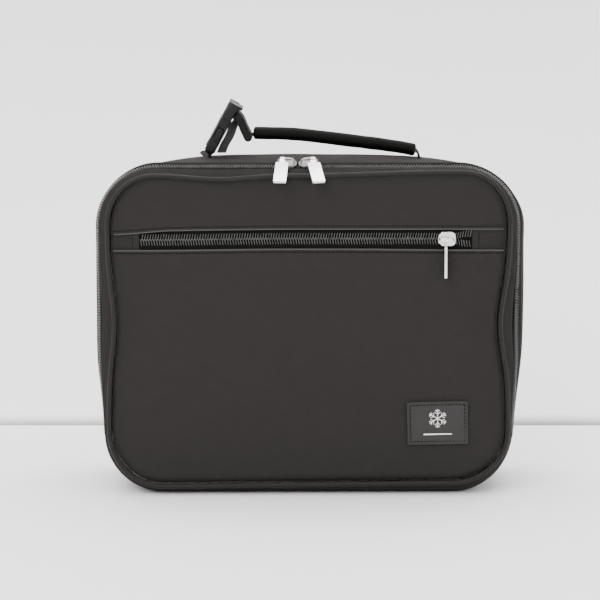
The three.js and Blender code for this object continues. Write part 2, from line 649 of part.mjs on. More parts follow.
function buildSocket() {
  const beyond = BUCKLE_THICKNESS;
  const shell = roundedPlate(BUCKLE_THICKNESS, BUCKLE_WIDTH, BUCKLE_CORNER, SOCKET_START, SOCKET_END);
  const { halfThickness: t, halfWidth: w, floor } = CAVITY;
  const socket = cut(
    shell,
    box([-t, t], [-w, w], [floor, SOCKET_END + 1]),
    box([-t, t], [-BUCKLE_WIDTH, BUCKLE_WIDTH], [floor + 0.5, PRONG_TIP + 10]),
    box([-beyond, beyond], [-SLOT_HALF, SLOT_HALF], [BAR_MIDDLE + 0.8, 11.4]),
    box([1, beyond], [-SLOT_HALF, SLOT_HALF], [SOCKET_START - 1, BAR_MIDDLE + 1]),
    box([-beyond, -1], [-SLOT_HALF, SLOT_HALF], [SOCKET_START - 1, BAR_MIDDLE + 1]),
  );
  add("buckle_socket", socket, PLASTIC, buckle);
}

// A loop of webbing round the socket's bar, narrowed where it enters the seam so that it can tilt.
function buildAnchorWebbing() {
  const [inner, outer] = [1.6, 1.6 + WEBBING];
  const [foot, shoulder] = [3.3, 5.2];
  const shape = new THREE.Shape();
  shape.moveTo(-outer, foot);
  shape.lineTo(outer, foot);
  shape.lineTo(outer, BAR_MIDDLE);
  shape.absarc(0, BAR_MIDDLE, outer, 0, Math.PI);
  const hole = new THREE.Path();
  hole.moveTo(-inner, shoulder);
  hole.lineTo(-inner, BAR_MIDDLE);
  hole.absarc(0, BAR_MIDDLE, inner, Math.PI, 0, true);
  hole.lineTo(inner, shoulder);
  shape.holes.push(hole);
  const settings = { depth: WEBBING_WIDTH, bevelEnabled: false, curveSegments: 6 };
  const loop = new THREE.ExtrudeGeometry(shape, settings);
  loop.translate(0, 0, -WEBBING_WIDTH / 2).rotateX(Math.PI / 2);
  add("anchor_webbing_left", cut(loop, ...footTrims(foot, shoulder)), WEB, buckle);
}

// Wedges that narrow a webbing's lower end between two heights.
function footTrims(foot, shoulder) {
  const [narrow, wide] = [4.3, WEBBING_WIDTH / 2];
  return [-1, 1].map((side) => {
    const wedge = new THREE.Shape([
      new THREE.Vector2(side * narrow, foot - 1),
      new THREE.Vector2(side * narrow, foot),
      new THREE.Vector2(side * (wide + 0.1), shoulder),
      new THREE.Vector2(side * (wide + 2), foot - 1),
    ]);
    const prism = new THREE.ExtrudeGeometry(wedge, { depth: 20, bevelEnabled: false });
    return prism.translate(0, 0, -10).rotateX(Math.PI / 2).rotateZ(Math.PI / 2);
  });
}

function buildPlug() {
  const start = SOCKET_END + FIT_GAP;
  const frame = cut(
    roundedPlate(BUCKLE_THICKNESS - PLUG_GAP, BUCKLE_WIDTH, BUCKLE_CORNER, start, PLUG_END),
    box([-BUCKLE_THICKNESS, BUCKLE_THICKNESS], [-SLOT_HALF, SLOT_HALF], PLUG_SLOT_LOW),
    box([-BUCKLE_THICKNESS, BUCKLE_THICKNESS], [-SLOT_HALF, SLOT_HALF], PLUG_SLOT_HIGH),
  );
  const tongue = box([-1.2, 1.2], [-2.2, 2.2], [20, start + 1]);
  const lip = box([3, 6.6], [-SLOT_HALF, SLOT_HALF], [PLUG_END - 2, PLUG_END - 0.4]);
  add("buckle_plug", joined(frame, tongue, lip), PLASTIC, buckle);
  for (const [name, side] of [["front", -1], ["back", 1]]) {
    const across = (near, far) => [side * near, side * far].sort((a, b) => a - b);
    const arm = box([-1.9, 1.9], across(7.6, 9.8), [PRONG_TIP, start - FIT_GAP]);
    const pad = box([-1.9, 1.9], across(9, 12.2), [PRONG_TIP + 0.3, PRONG_TIP + 7]);
    add(`buckle_prong_${name}`, joined(arm, pad), PLASTIC, buckle);
  }
}

// The strap's stitched stack, from the plug down to the grip, with the layer that enters the plug.
function buildStrap() {
  const [top, end] = [STRAP_TOP, STRAP_END].map(([x, z]) => new THREE.Vector2(x, z));
  const along = end.clone().sub(top).normalize();
  const normal = new THREE.Vector2(-along.y, along.x);
  const corner = (p, n, a) => {
    const moved = p.clone().addScaledVector(normal, n * STRAP_HALF);
    return moved.addScaledVector(along, a * STRAP_HALF);
  };
  const shape = new THREE.Shape([
    corner(top, -1, 0),
    corner(top, 1, 0),
    corner(end, 1, 0),
    corner(end, 0.6, 0.8),
    corner(end, -0.6, 0.8),
    corner(end, -1, 0),
  ]);
  const stack = new THREE.ExtrudeGeometry(shape, { depth: WEBBING_WIDTH, bevelEnabled: false });
  stack.translate(0, 0, -WEBBING_WIDTH / 2).rotateX(Math.PI / 2).translate(0, HANDLE_Y, 0);
  buckle.updateMatrix();
  const [low, high] = PLUG_SLOT_LOW;
  const slack = 0.6;
  const across = [slack - SLOT_HALF, SLOT_HALF - slack];
  const layer = box([-1, BUCKLE_THICKNESS], across, [low + slack, high - slack]);
  layer.applyMatrix4(buckle.matrix);
  add("handle_strap", joined(stack, layer), WEB);
  const tail = box([TAIL.near, TAIL.near + WEBBING], [-TAIL.halfWidth, TAIL.halfWidth], [TAIL.low, TAIL.high]);
  add("strap_tail", tail, WEB, buckle);
}

function buildGrip() {
  const curve = (start, end) => {
    const [first, second, third, last] = GRIP_KNOTS;
    const points = [[start, first], second, third, [end, last]];
    return new THREE.CatmullRomCurve3(points.map(([x, z]) => new THREE.Vector3(x, HANDLE_Y, z)));
  };
  const tube = (path, radius, bore) => {
    const shape = new THREE.Shape().absarc(0, 0, radius, 0, 2 * Math.PI);
    if (bore) shape.holes.push(new THREE.Path().absarc(0, 0, bore, 0, 2 * Math.PI, true));
    return new THREE.ExtrudeGeometry(shape, { steps: 14, extrudePath: path, curveSegments: 6 });
  };
  add("grip_sleeve", tube(curve(-37.4, 71.5), GRIP_RADIUS, GRIP_BORE), GRIP);
  add("grip_core", tube(curve(-37.2, 71.9), GRIP_CORE), WEB);
}

function buildRightLoop() {
  const foot = topAt(LOOP_X, HANDLE_Y) + LOOP_START;
  const half = WEBBING_WIDTH / 2;
  const strip = box([-WEBBING / 2, WEBBING / 2], [-half, half], [foot, foot + LOOP_HEIGHT]);
  const loop = cut(strip, ...footTrims(foot, foot + LOOP_HEIGHT / 2));
  add("loop_webbing_right", loop.translate(LOOP_X, HANDLE_Y, 0), WEB);
}

buildBody();
buildLid();
buildMainZip("lid", -1);
buildMainZip("body", 1);
buildPocketZip();
buildMainSliders();
buildPocketSlider();
buildSocket();
buildAnchorWebbing();
buildPlug();
buildStrap();
buildGrip();
buildRightLoop();

export default bag;
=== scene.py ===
"""An insulated lunch bag in Blender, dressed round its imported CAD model.

Driving values are in millimetres and degrees; Part turns them into metres when it makes a mesh. X runs to
the right, Y to the back and Z up. Every cloth follows the bag's own outline formula, so that it lies where
its CAD solid does.
"""
import math

import bmesh
import bpy
import numpy as np
from mathutils import Matrix, Vector, noise


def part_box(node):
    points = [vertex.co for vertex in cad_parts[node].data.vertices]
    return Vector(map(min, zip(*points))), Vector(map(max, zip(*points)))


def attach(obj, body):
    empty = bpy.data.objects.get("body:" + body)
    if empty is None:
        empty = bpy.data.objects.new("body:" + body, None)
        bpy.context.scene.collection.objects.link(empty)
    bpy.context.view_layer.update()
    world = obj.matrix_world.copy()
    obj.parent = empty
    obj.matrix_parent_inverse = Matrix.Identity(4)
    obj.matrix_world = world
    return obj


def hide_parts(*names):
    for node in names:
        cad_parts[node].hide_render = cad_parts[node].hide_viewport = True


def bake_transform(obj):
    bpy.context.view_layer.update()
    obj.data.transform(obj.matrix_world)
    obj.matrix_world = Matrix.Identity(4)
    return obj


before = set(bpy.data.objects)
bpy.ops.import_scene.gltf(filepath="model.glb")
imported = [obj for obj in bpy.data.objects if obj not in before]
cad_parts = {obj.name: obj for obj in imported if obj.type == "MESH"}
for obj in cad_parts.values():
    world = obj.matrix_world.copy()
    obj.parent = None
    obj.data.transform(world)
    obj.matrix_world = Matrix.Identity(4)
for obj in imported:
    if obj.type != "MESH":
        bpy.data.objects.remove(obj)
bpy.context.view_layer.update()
MM = 0.001


def node_box(node):
    """A CAD node's lowest and highest corners, in millimetres."""
    low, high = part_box(node)
    return np.array(low) / MM, np.array(high) / MM


# ---- Driving values -----------------------------------------------------------------------------

# The piped seams that frame the bag, front and back.
PIPING_LOW, PIPING_HIGH = node_box("front_piping")
PIPING_RADIUS = (PIPING_HIGH[1] - PIPING_LOW[1]) / 2
SEAM_Y = PIPING_RADIUS - PIPING_LOW[1]
SEAM_HALF_WIDTH = 134
SEAM_TOP = PIPING_HIGH[2] - PIPING_RADIUS
SEAM_BOTTOM = PIPING_LOW[2] + PIPING_RADIUS
SEAM_SHOULDER = 32
SEAM_FOOT = 37

# How far the gusset swells beyond the seams, and how the cloth settles.
SIDE_SWELL = 12
TOP_SWELL = 9.2
SHOULDER_SWELL = 14
FOOT_SWELL = 6
SWELL_POWER = 2.2
FOOT_HALF_DEPTH = 30
CROWN_DROP = 4.6
CROWN_HALF_WIDTH = 95
CROWN_LIMIT = 108
CROWN_POWER = 3
CROWN_REACH = 60
CROWN_FADE = 16
WAIST_PINCH = 5
WAIST_SWELL = 0.6
WAIST_HEIGHT = 117.6
WAIST_SPREAD = 22
PINCH_REACH = 0.74
PINCH_LEAN = 0.9
LEFT_FULLNESS = 8
LEFT_FLATNESS = 2.3
SKIRT_TAPER = 5.5
SKIRT_TOP = 99.6
SKIRT_HEIGHT = 65

# The front seam's unevenness along X: its top dips on the left and climbs to the right.
SWAY_REACH = 90
SWAY_TOP = 0.8
SWAY_CLIMB = 2.2
SWAY_DIP = 2.6
SWAY_DIP_X = -60
SWAY_DIP_WIDTH = 26
SWAY_TOP_START, SWAY_TOP_FADE = 36, 34
SWAY_BASE = 1.2
SWAY_BASE_FADE = 30

# The outline's stretches, in steps: from the lower left corner up, over the top and back under the base.
SIDE_STEPS, CORNER_STEPS, TOP_STEPS, BOTTOM_STEPS = 12, 6, 10, 6
STRETCHES = np.array(
    [SIDE_STEPS, CORNER_STEPS, TOP_STEPS, CORNER_STEPS, SIDE_STEPS, CORNER_STEPS, BOTTOM_STEPS, CORNER_STEPS]
)
STRETCH_ENDS = np.cumsum(STRETCHES)
UPPER_STEPS = int(STRETCH_ENDS[4])
RING_STEPS = int(STRETCH_ENDS[-1])

# Layers, from the outside in.
FABRIC = 1.2
FOAM_INSET = 2.0
FOAM = 4.5
FOAM_GAP = 0.1
LINING_INSET = 7.3
LID_BINDING_INSET = 2.9
PANEL_INSET = PIPING_RADIUS + 0.3
PAD_INSET = PANEL_INSET + FOAM_INSET

# Zips.
MAIN_ZIP_Y = (node_box("lid_zip_coil")[1][1] + node_box("body_zip_coil")[0][1]) / 2
SLOT_HALF = node_box("body_gusset")[0][1] - MAIN_ZIP_Y
CHAIN_INSET = 0.3
TAPE_GAP = 0.1
MAIN_PITCH = 1.8
POCKET_PITCH = 1.75
POCKET_ZIP_Z = (node_box("pocket_coil_upper")[0][2] + node_box("pocket_coil_lower")[1][2]) / 2
POCKET_CHAIN_Y = (node_box("pocket_coil_upper")[0][1] + node_box("pocket_coil_upper")[1][1]) / 2
POCKET_LEFT = node_box("pocket_tab_left")[1][0]
POCKET_RIGHT = node_box("pocket_tab_right")[0][0]
POCKET_SLOT_TOP = node_box("front_panel_top")[0][2]
POCKET_SLOT_BOTTOM = node_box("front_pocket_panel")[1][2]
PANEL_FACE = -node_box("front_pocket_panel")[0][1]
PARTED_BY = 1.7
PARTED_WITHIN = 9

# The front's padding: how high it puffs, and how far from the edge and the pocket that shows.
PUFF = 1.5
PUFF_EDGE = 16
PUFF_TOP = 155
PUFF_FADE = 70
EDGE_ROLL = 0.35
EDGE_ROLL_AT = 4
EDGE_ROLL_WIDTH = 3
WAIST_DENT = 1.1
WAIST_DENT_X = 122
WAIST_DENT_WIDTH = 13
WAIST_DENT_DROP = 4
UNEVENNESS = 0.55
UNEVEN_SIZE = 46.0
TUCK_DEPTH = 2.3
TUCK_WIDTH = 1.6
TUCK_POWER = 1.3

# The folds of cloth above and below the pocket's zip.
FOLD_REACH = 24
FOLD_CLOTH = FABRIC * 0.7
TOP_FOLD_RISE = 0.18
TOP_FOLD_BOW = 2.6
LOWER_FOLD_BOW = 0.6
LOWER_FOLD_DROP = 1
CREASE_RADIUS = 0.5

# Sliders.
MAIN_SLIDER_X = {"left": -14.7, "right": 0.0}
MAIN_SLIDER_LENGTH = 13.4
POCKET_SLIDER_X = 92
POCKET_SLIDER_LENGTH = 11.6
SLIDER_HALF_WIDTH = 4.8
SLIDER_TOP_PLATE = (1.5, 2.6)
SLIDER_LOWER_PLATE = (-3.3, -2.4)
SLIDER_EDGE = 0.28
RAIL_Y = 4.15
RAIL_MARGIN = 2.2
BRIDGE_HEIGHT = 5.5
BRIDGE_FOOT = 2.2

# The label.
PATCH_WIDTH = 41
PATCH_HEIGHT = 29.5
PATCH_CORNER = 1.2
PATCH_RIM = 1.3
PATCH_TURN = -1.2
PATCH_LEAN = 1.0

# Handle.
HANDLE_Y = 6
BUCKLE_X = -69.7
BUCKLE_LEAN = 28.2
WEBBING_WIDTH = 20
WEBBING = 1.4
LOOP_X = 74
GRIP_RADIUS = 4.2
GRIP_KNOTS = [(-10, 239.4), (25.6, 235.4), (58.0, 231.2)]
SLEEVE_ENDS = (-37.4, 240.2), (72.6, 228.6)
CORE_ENDS = (-40.6, 239.2), (73.4, 228.2)


# ---- The bag's outline --------------------------------------------------------------------------


def smooth(t):
    """A smooth step from 0 to 1 as t goes from 0 to 1."""
    s = np.clip(t, 0, 1)
    return s * s * (3 - 2 * s)


def swell(y):
    """The share of its full swelling that the gusset has at depth y: 0 at the seams and 1 between them."""
    return 1 - np.minimum(1, np.abs(y) / SEAM_Y) ** SWELL_POWER


def waist(z):
    """The share of the waist's pinch at a height."""
    return np.exp(-0.5 * ((z - WAIST_HEIGHT) / WAIST_SPREAD) ** 2)


def base_lift(y):
    """How far the base has lifted off the table at depth y, on its way to a seam."""
    past = (np.minimum(np.abs(y), SEAM_Y) - FOOT_HALF_DEPTH) / (SEAM_Y - FOOT_HALF_DEPTH)
    return SEAM_BOTTOM * np.maximum(0, past) ** 2


def crown_fall(x):
    return CROWN_DROP * (np.minimum(np.abs(x), CROWN_LIMIT) / CROWN_HALF_WIDTH) ** CROWN_POWER


def settle(x, y, z, top):
    """Draws in the waist and the lower corners, and crowns the top, as the CAD outline does."""
    s = swell(y)
    pinch = WAIST_PINCH + PINCH_LEAN * np.sign(x)
    shift = waist(z) * (WAIST_SWELL * s - pinch * np.maximum(0, 1 - s / PINCH_REACH))
    taper = SKIRT_TAPER * s * smooth((SKIRT_TOP - z) / SKIRT_HEIGHT)
    fuller = np.where(x < 0, LEFT_FULLNESS * s * (1 - s) ** 2 - LEFT_FLATNESS * s**3, 0)
    side = (shift - taper + fuller) * smooth(np.abs(x) / SEAM_HALF_WIDTH * 2 - 1)
    crest = smooth((y - MAIN_ZIP_Y - SLOT_HALF) / CROWN_FADE)
    drop = crown_fall(x) * crest * smooth((z - top) / CROWN_REACH + 1)
    return x + np.sign(x) * side, z - drop


def sway(x, y, z):
    """The front seam's own unevenness, which fades out towards the zip."""
    loose = 1 - swell(y)
    dip = np.exp(-(((x - SWAY_DIP_X) / SWAY_DIP_WIDTH) ** 2))
    upper = SWAY_TOP + SWAY_CLIMB * smooth(x / SWAY_REACH) - SWAY_DIP * dip
    lower = SWAY_BASE * x / SWAY_REACH
    front = smooth((MAIN_ZIP_Y - y) / (SEAM_Y + MAIN_ZIP_Y))
    near_top = smooth((z - SEAM_TOP + SWAY_TOP_START) / SWAY_TOP_FADE)
    near_base = smooth((SEAM_BOTTOM + SWAY_BASE_FADE - z) / SWAY_BASE_FADE)
    lift = upper * near_top + lower * near_base
    return np.stack([x, y, z + lift * loose * front], axis=-1)


def outline(step, y, inset=0.0):
    """Points on the outline at depth y, moved inwards by inset."""
    step, y, inset = np.broadcast_arrays(np.mod(np.asarray(step, float), RING_STEPS), y, inset)
    s = swell(y)
    half = SEAM_HALF_WIDTH + SIDE_SWELL * s - inset
    top = SEAM_TOP + TOP_SWELL * s - inset
    bottom = base_lift(y) + inset
    shoulder = np.maximum(2, SEAM_SHOULDER + SHOULDER_SWELL * s - inset)
    foot = np.maximum(2, SEAM_FOOT + FOOT_SWELL * s - inset)
    high, low = top - shoulder, bottom + foot
    high_x, low_x = half - shoulder, half - foot
    which = np.searchsorted(STRETCH_ENDS, step, side="right")
    t = (step - (STRETCH_ENDS - STRETCHES)[which]) / STRETCHES[which]

    def arc(radius, start):
        angle = np.radians(start - 90 * t)
        return radius * np.cos(angle), radius * np.sin(angle)

    arcs = [arc(shoulder, 180), arc(shoulder, 90), arc(foot, 0), arc(foot, -90)]
    x = np.choose(
        which,
        [-half, arcs[0][0] - high_x, high_x * (2 * t - 1), high_x + arcs[1][0],
         half, low_x + arcs[2][0], low_x * (1 - 2 * t), arcs[3][0] - low_x],
    )
    z = np.choose(
        which,
        [low + (high - low) * t, high + arcs[0][1], top, high + arcs[1][1],
         high + (low - high) * t, low + arcs[2][1], bottom, low + arcs[3][1]],
    )
    x, z = settle(x, y, z, top)
    return sway(x, y, z)


def spaced_steps(first, last, spacing, y=0.0):
    """Steps from first to last that lie an equal distance apart along the outline at depth y."""
    fine = np.linspace(first, last, 3000)
    gaps = np.linalg.norm(np.diff(outline(fine, y), axis=0), axis=1)
    along = np.concatenate([[0], np.cumsum(gaps)])
    count = max(2, round(along[-1] / spacing))
    return np.interp(np.linspace(0, along[-1], count + 1), along, fine)


def surface_frames(steps, y, inset):
    """Origins and the along, across and outward directions on the gusset at each step."""
    tiny = 0.02
    origin = outline(steps, y, inset)
    along = outline(np.asarray(steps) + tiny, y, inset) - outline(np.asarray(steps) - tiny, y, inset)
    across = outline(steps, y + tiny, inset) - outline(steps, y - tiny, inset)
    along = along / np.linalg.norm(along, axis=-1, keepdims=True)
    out = np.cross(along, across)
    out = out / np.linalg.norm(out, axis=-1, keepdims=True)
    across = np.cross(out, along)
    outward = np.sign(np.sum(out * (origin - outline(steps, y, inset + 1)), axis=-1, keepdims=True))
    return origin, along, across, out * outward


def wobble(points, size, seed=0.0):
    """Smooth noise from -1 to 1 at each point, with features of about the given size."""
    flat = points.reshape(-1, 3) / size + seed
    values = [noise.noise(Vector(p)) for p in flat]
    return np.array(values).reshape(points.shape[:-1])


# ---- Meshes -------------------------------------------------------------------------------------


class Part:
    """Points in millimetres, faces, and for each face corner a UV in metres."""

    def __init__(self):
        self.points = []
        self.faces = []
        self.uvs = []
        self.count = 0

    def _keep(self, points, faces, uvs):
        self.points.append(points)
        self.faces.extend([[i + self.count for i in face] for face in faces])
        self.uvs.extend(uvs)
        self.count += len(points)

    def loft(self, grid, closed_along=False, closed_across=True, planar=None, place=None):
        """A skin through a grid of points. An open run of closed sections gets flat ends. The UV runs along
        and across the grid, or it is the pair of axes that planar names."""
        grid = np.asarray(grid, float)
        if place is not None:
            grid = moved(grid, place)
        rows, columns = grid.shape[:2]
        down = [i for i in range(rows if closed_along else rows - 1)]
        over = [j for j in range(columns if closed_across else columns - 1)]
        u = travel(grid[:, 0])
        v = travel(grid[rows // 2])
        faces, uvs = [], []
        for i in down:
            for j in over:
                i2, j2 = (i + 1) % rows, (j + 1) % columns
                faces.append([i * columns + j, i * columns + j2, i2 * columns + j2, i2 * columns + j])
                uvs += [(u[i], v[j]), (u[i], v[j + 1]), (u[i + 1], v[j + 1]), (u[i + 1], v[j])]
        if closed_across and not closed_along:
            for row in (0, rows - 1):
                faces.append([row * columns + j for j in range(columns)])
                uvs += [(u[row], v[j]) for j in range(columns)]
        points = grid.reshape(-1, 3)
        if planar:
            uvs = [tuple(points[i][list(planar)] * MM) for face in faces for i in face]
        self._keep(points, faces, uvs)

    def copies(self, template, faces, origins, axes):
        """One copy of a template for each origin. The axes give its three directions there."""
        for i, origin in enumerate(origins):
            directions = np.stack([axis[i] for axis in axes])
            points = origin + template @ directions
            self._keep(points, faces, [(0, 0)] * sum(len(face) for face in faces))

    def piece(self, name):
        mesh = bpy.data.meshes.new(name)
        points = np.concatenate(self.points) * MM
        mesh.from_pydata(points.tolist(), [], self.faces)
        layer = mesh.uv_layers.new(name="weave")
        layer.data.foreach_set("uv", np.array(self.uvs, np.float32).ravel())
        made = bmesh.new()
        made.from_mesh(mesh)
        bmesh.ops.recalc_face_normals(made, faces=made.faces)
        made.to_mesh(mesh)
        made.free()
        return linked(name, mesh)


def travel(line):
    """Distance along a closed line of points in millimetres, in metres, with the way back at the end."""
    gaps = np.linalg.norm(np.roll(line, -1, axis=0) - line, axis=1)
    return np.concatenate([[0], np.cumsum(gaps)]) * MM


def moved(points, place):
    matrix = np.array(place)
    return points @ matrix[:3, :3].T + matrix[:3, 3]


def linked(name, mesh):
    piece = bpy.data.objects.new(name, mesh)
    bpy.context.scene.collection.objects.link(piece)
    return piece


def dress(piece, material, body, nodes=(), sharp=42, ride=True):
    """Gives a piece its finish, its shading and its body."""
    piece.data.materials.clear()
    piece.data.materials.append(material)
    piece.data.shade_smooth()
    piece.data.set_sharp_from_angle(angle=math.radians(sharp))
    if ride:
        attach(piece, body)
    if nodes:
        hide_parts(*nodes)
    return piece


def refined(node, bevel):
    """A copy of a hard CAD node with its flat faces made whole and its edges rounded."""
    piece = linked(f"{node}_form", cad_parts[node].data.copy())
    made = bmesh.new()
    made.from_mesh(piece.data)
    bmesh.ops.remove_doubles(made, verts=made.verts, dist=1e-5)
    bmesh.ops.dissolve_limit(
        made, angle_limit=math.radians(1.5), verts=made.verts, edges=made.edges
    )
    made.to_mesh(piece.data)
    made.free()
    rounding = piece.modifiers.new("rounding", "BEVEL")
    rounding.width = bevel * MM
    rounding.segments = 3
    rounding.limit_method = "ANGLE"
    rounding.angle_limit = math.radians(30)
    bake_modifiers(piece)
    return piece


def bake_modifiers(piece):
    """Makes a piece's modifiers part of its mesh."""
    graph = bpy.context.evaluated_depsgraph_get()
    mesh = bpy.data.meshes.new_from_object(piece.evaluated_get(graph))
    piece.modifiers.clear()
    piece.data = mesh


def rounded_rectangle(length, width, radius, per_corner=5):
    """Points round a rectangle with rounded corners, about its middle."""
    points = []
    for quarter, (sx, sy) in enumerate([(1, 1), (-1, 1), (-1, -1), (1, -1)]):
        for k in range(per_corner):
            angle = math.radians(90 * (quarter + k / (per_corner - 1)))
            x = sx * (length / 2 - radius) + radius * math.cos(angle)
            y = sy * (width / 2 - radius) + radius * math.sin(angle)
            points.append((x, y))
    return np.array(points)


def plate(part, length, width, radius, z0, z1, place, bevel):
    """A rounded plate in X and Y with softened edges, from z0 to z1."""
    levels = [(bevel, z0), (0.3 * bevel, z0 + 0.3 * bevel), (0, z0 + bevel)]
    levels += [(0, z1 - bevel), (0.3 * bevel, z1 - 0.3 * bevel), (bevel, z1)]
    sections = []
    for inset, z in levels:
        flat = rounded_rectangle(length - 2 * inset, width - 2 * inset, max(0.05, radius - inset))
        sections.append(np.column_stack([flat, np.full(len(flat), z)]))
    part.loft(sections, place=place)


def sweep(part, path, section, side=(0, 1, 0), place=None):
    """A section of (side, up) pairs carried along a path. The section may be a function of the index."""
    path = np.asarray(path, float)
    side = np.asarray(side, float)
    tangent = np.gradient(path, axis=0)
    up = np.cross(tangent, side)
    up = up / np.linalg.norm(up, axis=1, keepdims=True)
    rows = []
    for i, point in enumerate(path):
        shape = section(i) if callable(section) else section
        rows.append(point + shape[:, :1] * side + shape[:, 1:] * up[i])
    part.loft(rows, place=place)


def turns(count):
    """Angles round a full circle."""
    return np.arange(count) * 2 * math.pi / count


def circle(radius):
    return np.column_stack([radius * np.cos(turns(8)), radius * np.sin(turns(8))])


def ring_template(rings):
    """Points and faces of a small closed solid through a list of rings of points."""
    count = len(rings[0])
    starts = [i * count for i in range(len(rings) - 1)]
    faces = [[i + j, i + (j + 1) % count, i + count + (j + 1) % count, i + count + j]
             for i in starts for j in range(count)]
    faces += [list(range(count)), [(len(rings) - 1) * count + j for j in range(count)]]
    return np.vstack(rings), faces


def curve_through(points, count):
    """A smooth curve through given points (a Catmull-Rom spline), evenly sampled."""
    p = np.asarray(points, float)
    p = np.vstack([2 * p[0] - p[1], p, 2 * p[-1] - p[-2]])
    fine = []
    for a, b, c, d in zip(p, p[1:], p[2:], p[3:]):
        for t in np.linspace(0, 1, 40, endpoint=False):
            fine.append(0.5 * (2 * b + (c - a) * t + (2 * a - 5 * b + 4 * c - d) * t**2
                               + (3 * b - a - 3 * c + d) * t**3))
    fine = np.array([*fine, p[-2]])
    along = np.concatenate([[0], np.cumsum(np.linalg.norm(np.diff(fine, axis=0), axis=1))])
    wanted = np.linspace(0, along[-1], count)
    return np.column_stack([np.interp(wanted, along, fine[:, k]) for k in range(fine.shape[1])])


def in_handle_plane(points):
    """(x, z) pairs as points in the handle's plane."""
    points = np.asarray(points, float)
    return np.column_stack([points[:, 0], np.full(len(points), HANDLE_Y), points[:, 1]])


# ---- Materials ----------------------------------------------------------------------------------


class Finish:
    """A material with a Principled shader, and short calls for the nodes that feed it."""

    def __init__(self, name, colour, settings, mapped="UV"):
        self.material = bpy.data.materials.new(name)
        self.material.use_nodes = True
        self.tree = self.material.node_tree
        self.shader = self.tree.nodes["Principled BSDF"]
        self.colour = colour
        self.shader.inputs["Base Color"].default_value = (*colour, 1)
        for socket, value in settings.items():
            self.shader.inputs[socket].default_value = value
        source = self.tree.nodes.new("ShaderNodeTexCoord")
        self.place = source.outputs[mapped]

    def noise(self, size, detail=2.0, stretch=None):
        """Noise with features of about the given size in metres."""
        node = self.tree.nodes.new("ShaderNodeTexNoise")
        node.inputs["Scale"].default_value = 1 / size
        node.inputs["Detail"].default_value = detail
        self.tree.links.new(self._stretched(stretch), node.inputs["Vector"])
        return node.outputs["Fac"]

    def wave(self, period, direction="X"):
        """Sine bands with the given period in metres."""
        node = self.tree.nodes.new("ShaderNodeTexWave")
        node.bands_direction = direction
        widening = 2 if direction == "DIAGONAL" else 1
        node.inputs["Scale"].default_value = widening * math.pi / (10 * period)
        self.tree.links.new(self.place, node.inputs["Vector"])
        return node.outputs["Fac"]

    def cells(self, size):
        node = self.tree.nodes.new("ShaderNodeTexVoronoi")
        node.inputs["Scale"].default_value = 1 / size
        self.tree.links.new(self.place, node.inputs["Vector"])
        return node.outputs["Distance"]

    def _stretched(self, stretch):
        if stretch is None:
            return self.place
        node = self.tree.nodes.new("ShaderNodeMapping")
        node.inputs["Scale"].default_value = stretch
        self.tree.links.new(self.place, node.inputs["Vector"])
        return node.outputs["Vector"]

    def sum(self, *terms):
        """A weighted sum of (output, weight) pairs."""
        total = None
        for output, weight in terms:
            node = self.tree.nodes.new("ShaderNodeMath")
            node.operation = "MULTIPLY_ADD"
            self.tree.links.new(output, node.inputs[0])
            node.inputs[1].default_value = weight
            if total is not None:
                self.tree.links.new(total, node.inputs[2])
            total = node.outputs[0]
        return total

    def tint(self, height, dark, light, low=0.0, high=1.0):
        """Colours the surface from dark to light, both shares of its own colour, as the height goes from low
        to high."""
        ramp = self.tree.nodes.new("ShaderNodeValToRGB")
        for stop, place, share in zip(ramp.color_ramp.elements, (low, high), (dark, light)):
            stop.position = place
            stop.color = (*[c * share for c in self.colour], 1)
        self.tree.links.new(height, ramp.inputs["Fac"])
        self.tree.links.new(ramp.outputs["Color"], self.shader.inputs["Base Color"])

    def gloss(self, height, low, high):
        """Roughness from low to high as the height goes from 0 to 1."""
        ramp = self.tree.nodes.new("ShaderNodeMapRange")
        ramp.inputs["To Min"].default_value = low
        ramp.inputs["To Max"].default_value = high
        self.tree.links.new(height, ramp.inputs["Value"])
        self.tree.links.new(ramp.outputs["Result"], self.shader.inputs["Roughness"])

    def bump(self, height, depth):
        """Relief with the given depth in millimetres."""
        node = self.tree.nodes.new("ShaderNodeBump")
        node.inputs["Distance"].default_value = depth * MM
        self.tree.links.new(height, node.inputs["Height"])
        self.tree.links.new(node.outputs["Normal"], self.shader.inputs["Normal"])


def twill(name, colour, roughness, depth):
    """Polyester twill: diagonal ribs over fine yarns, with slow and fast unevenness."""
    finish = Finish(name, colour, {"Roughness": roughness, "Specular IOR Level": 0.1})
    ribs = finish.wave(0.0013, "DIAGONAL")
    warp = finish.wave(0.0006, "X")
    weft = finish.wave(0.0008, "Y")
    slub = finish.noise(0.0011, 2.0, (1.0, 0.45, 1.0))
    fleck = finish.noise(0.0024, 1.0)
    cloud = finish.noise(0.022, 2.0)
    shade = finish.sum((ribs, 0.12), (slub, 0.32), (fleck, 0.4), (cloud, 0.16))
    finish.tint(shade, 0.2, 1.8, 0.45, 0.55)
    finish.gloss(slub, roughness - 0.08, roughness + 0.08)
    finish.bump(finish.sum((ribs, 0.5), (warp, 0.2), (weft, 0.2), (slub, 0.6), (fleck, 0.5)), depth)
    return finish.material


def piping_finish():
    settings = {"Roughness": 0.5, "Specular IOR Level": 0.13}
    finish = Finish("piping", (0.0068, 0.0062, 0.0058), settings)
    ribs = finish.wave(0.0010, "DIAGONAL")
    slub = finish.noise(0.003, 3.0)
    finish.tint(finish.sum((ribs, 0.3), (slub, 0.7)), 0.2, 1.8)
    finish.gloss(slub, 0.4, 0.62)
    finish.bump(finish.sum((ribs, 0.5), (slub, 0.8)), 0.12)
    return finish.material


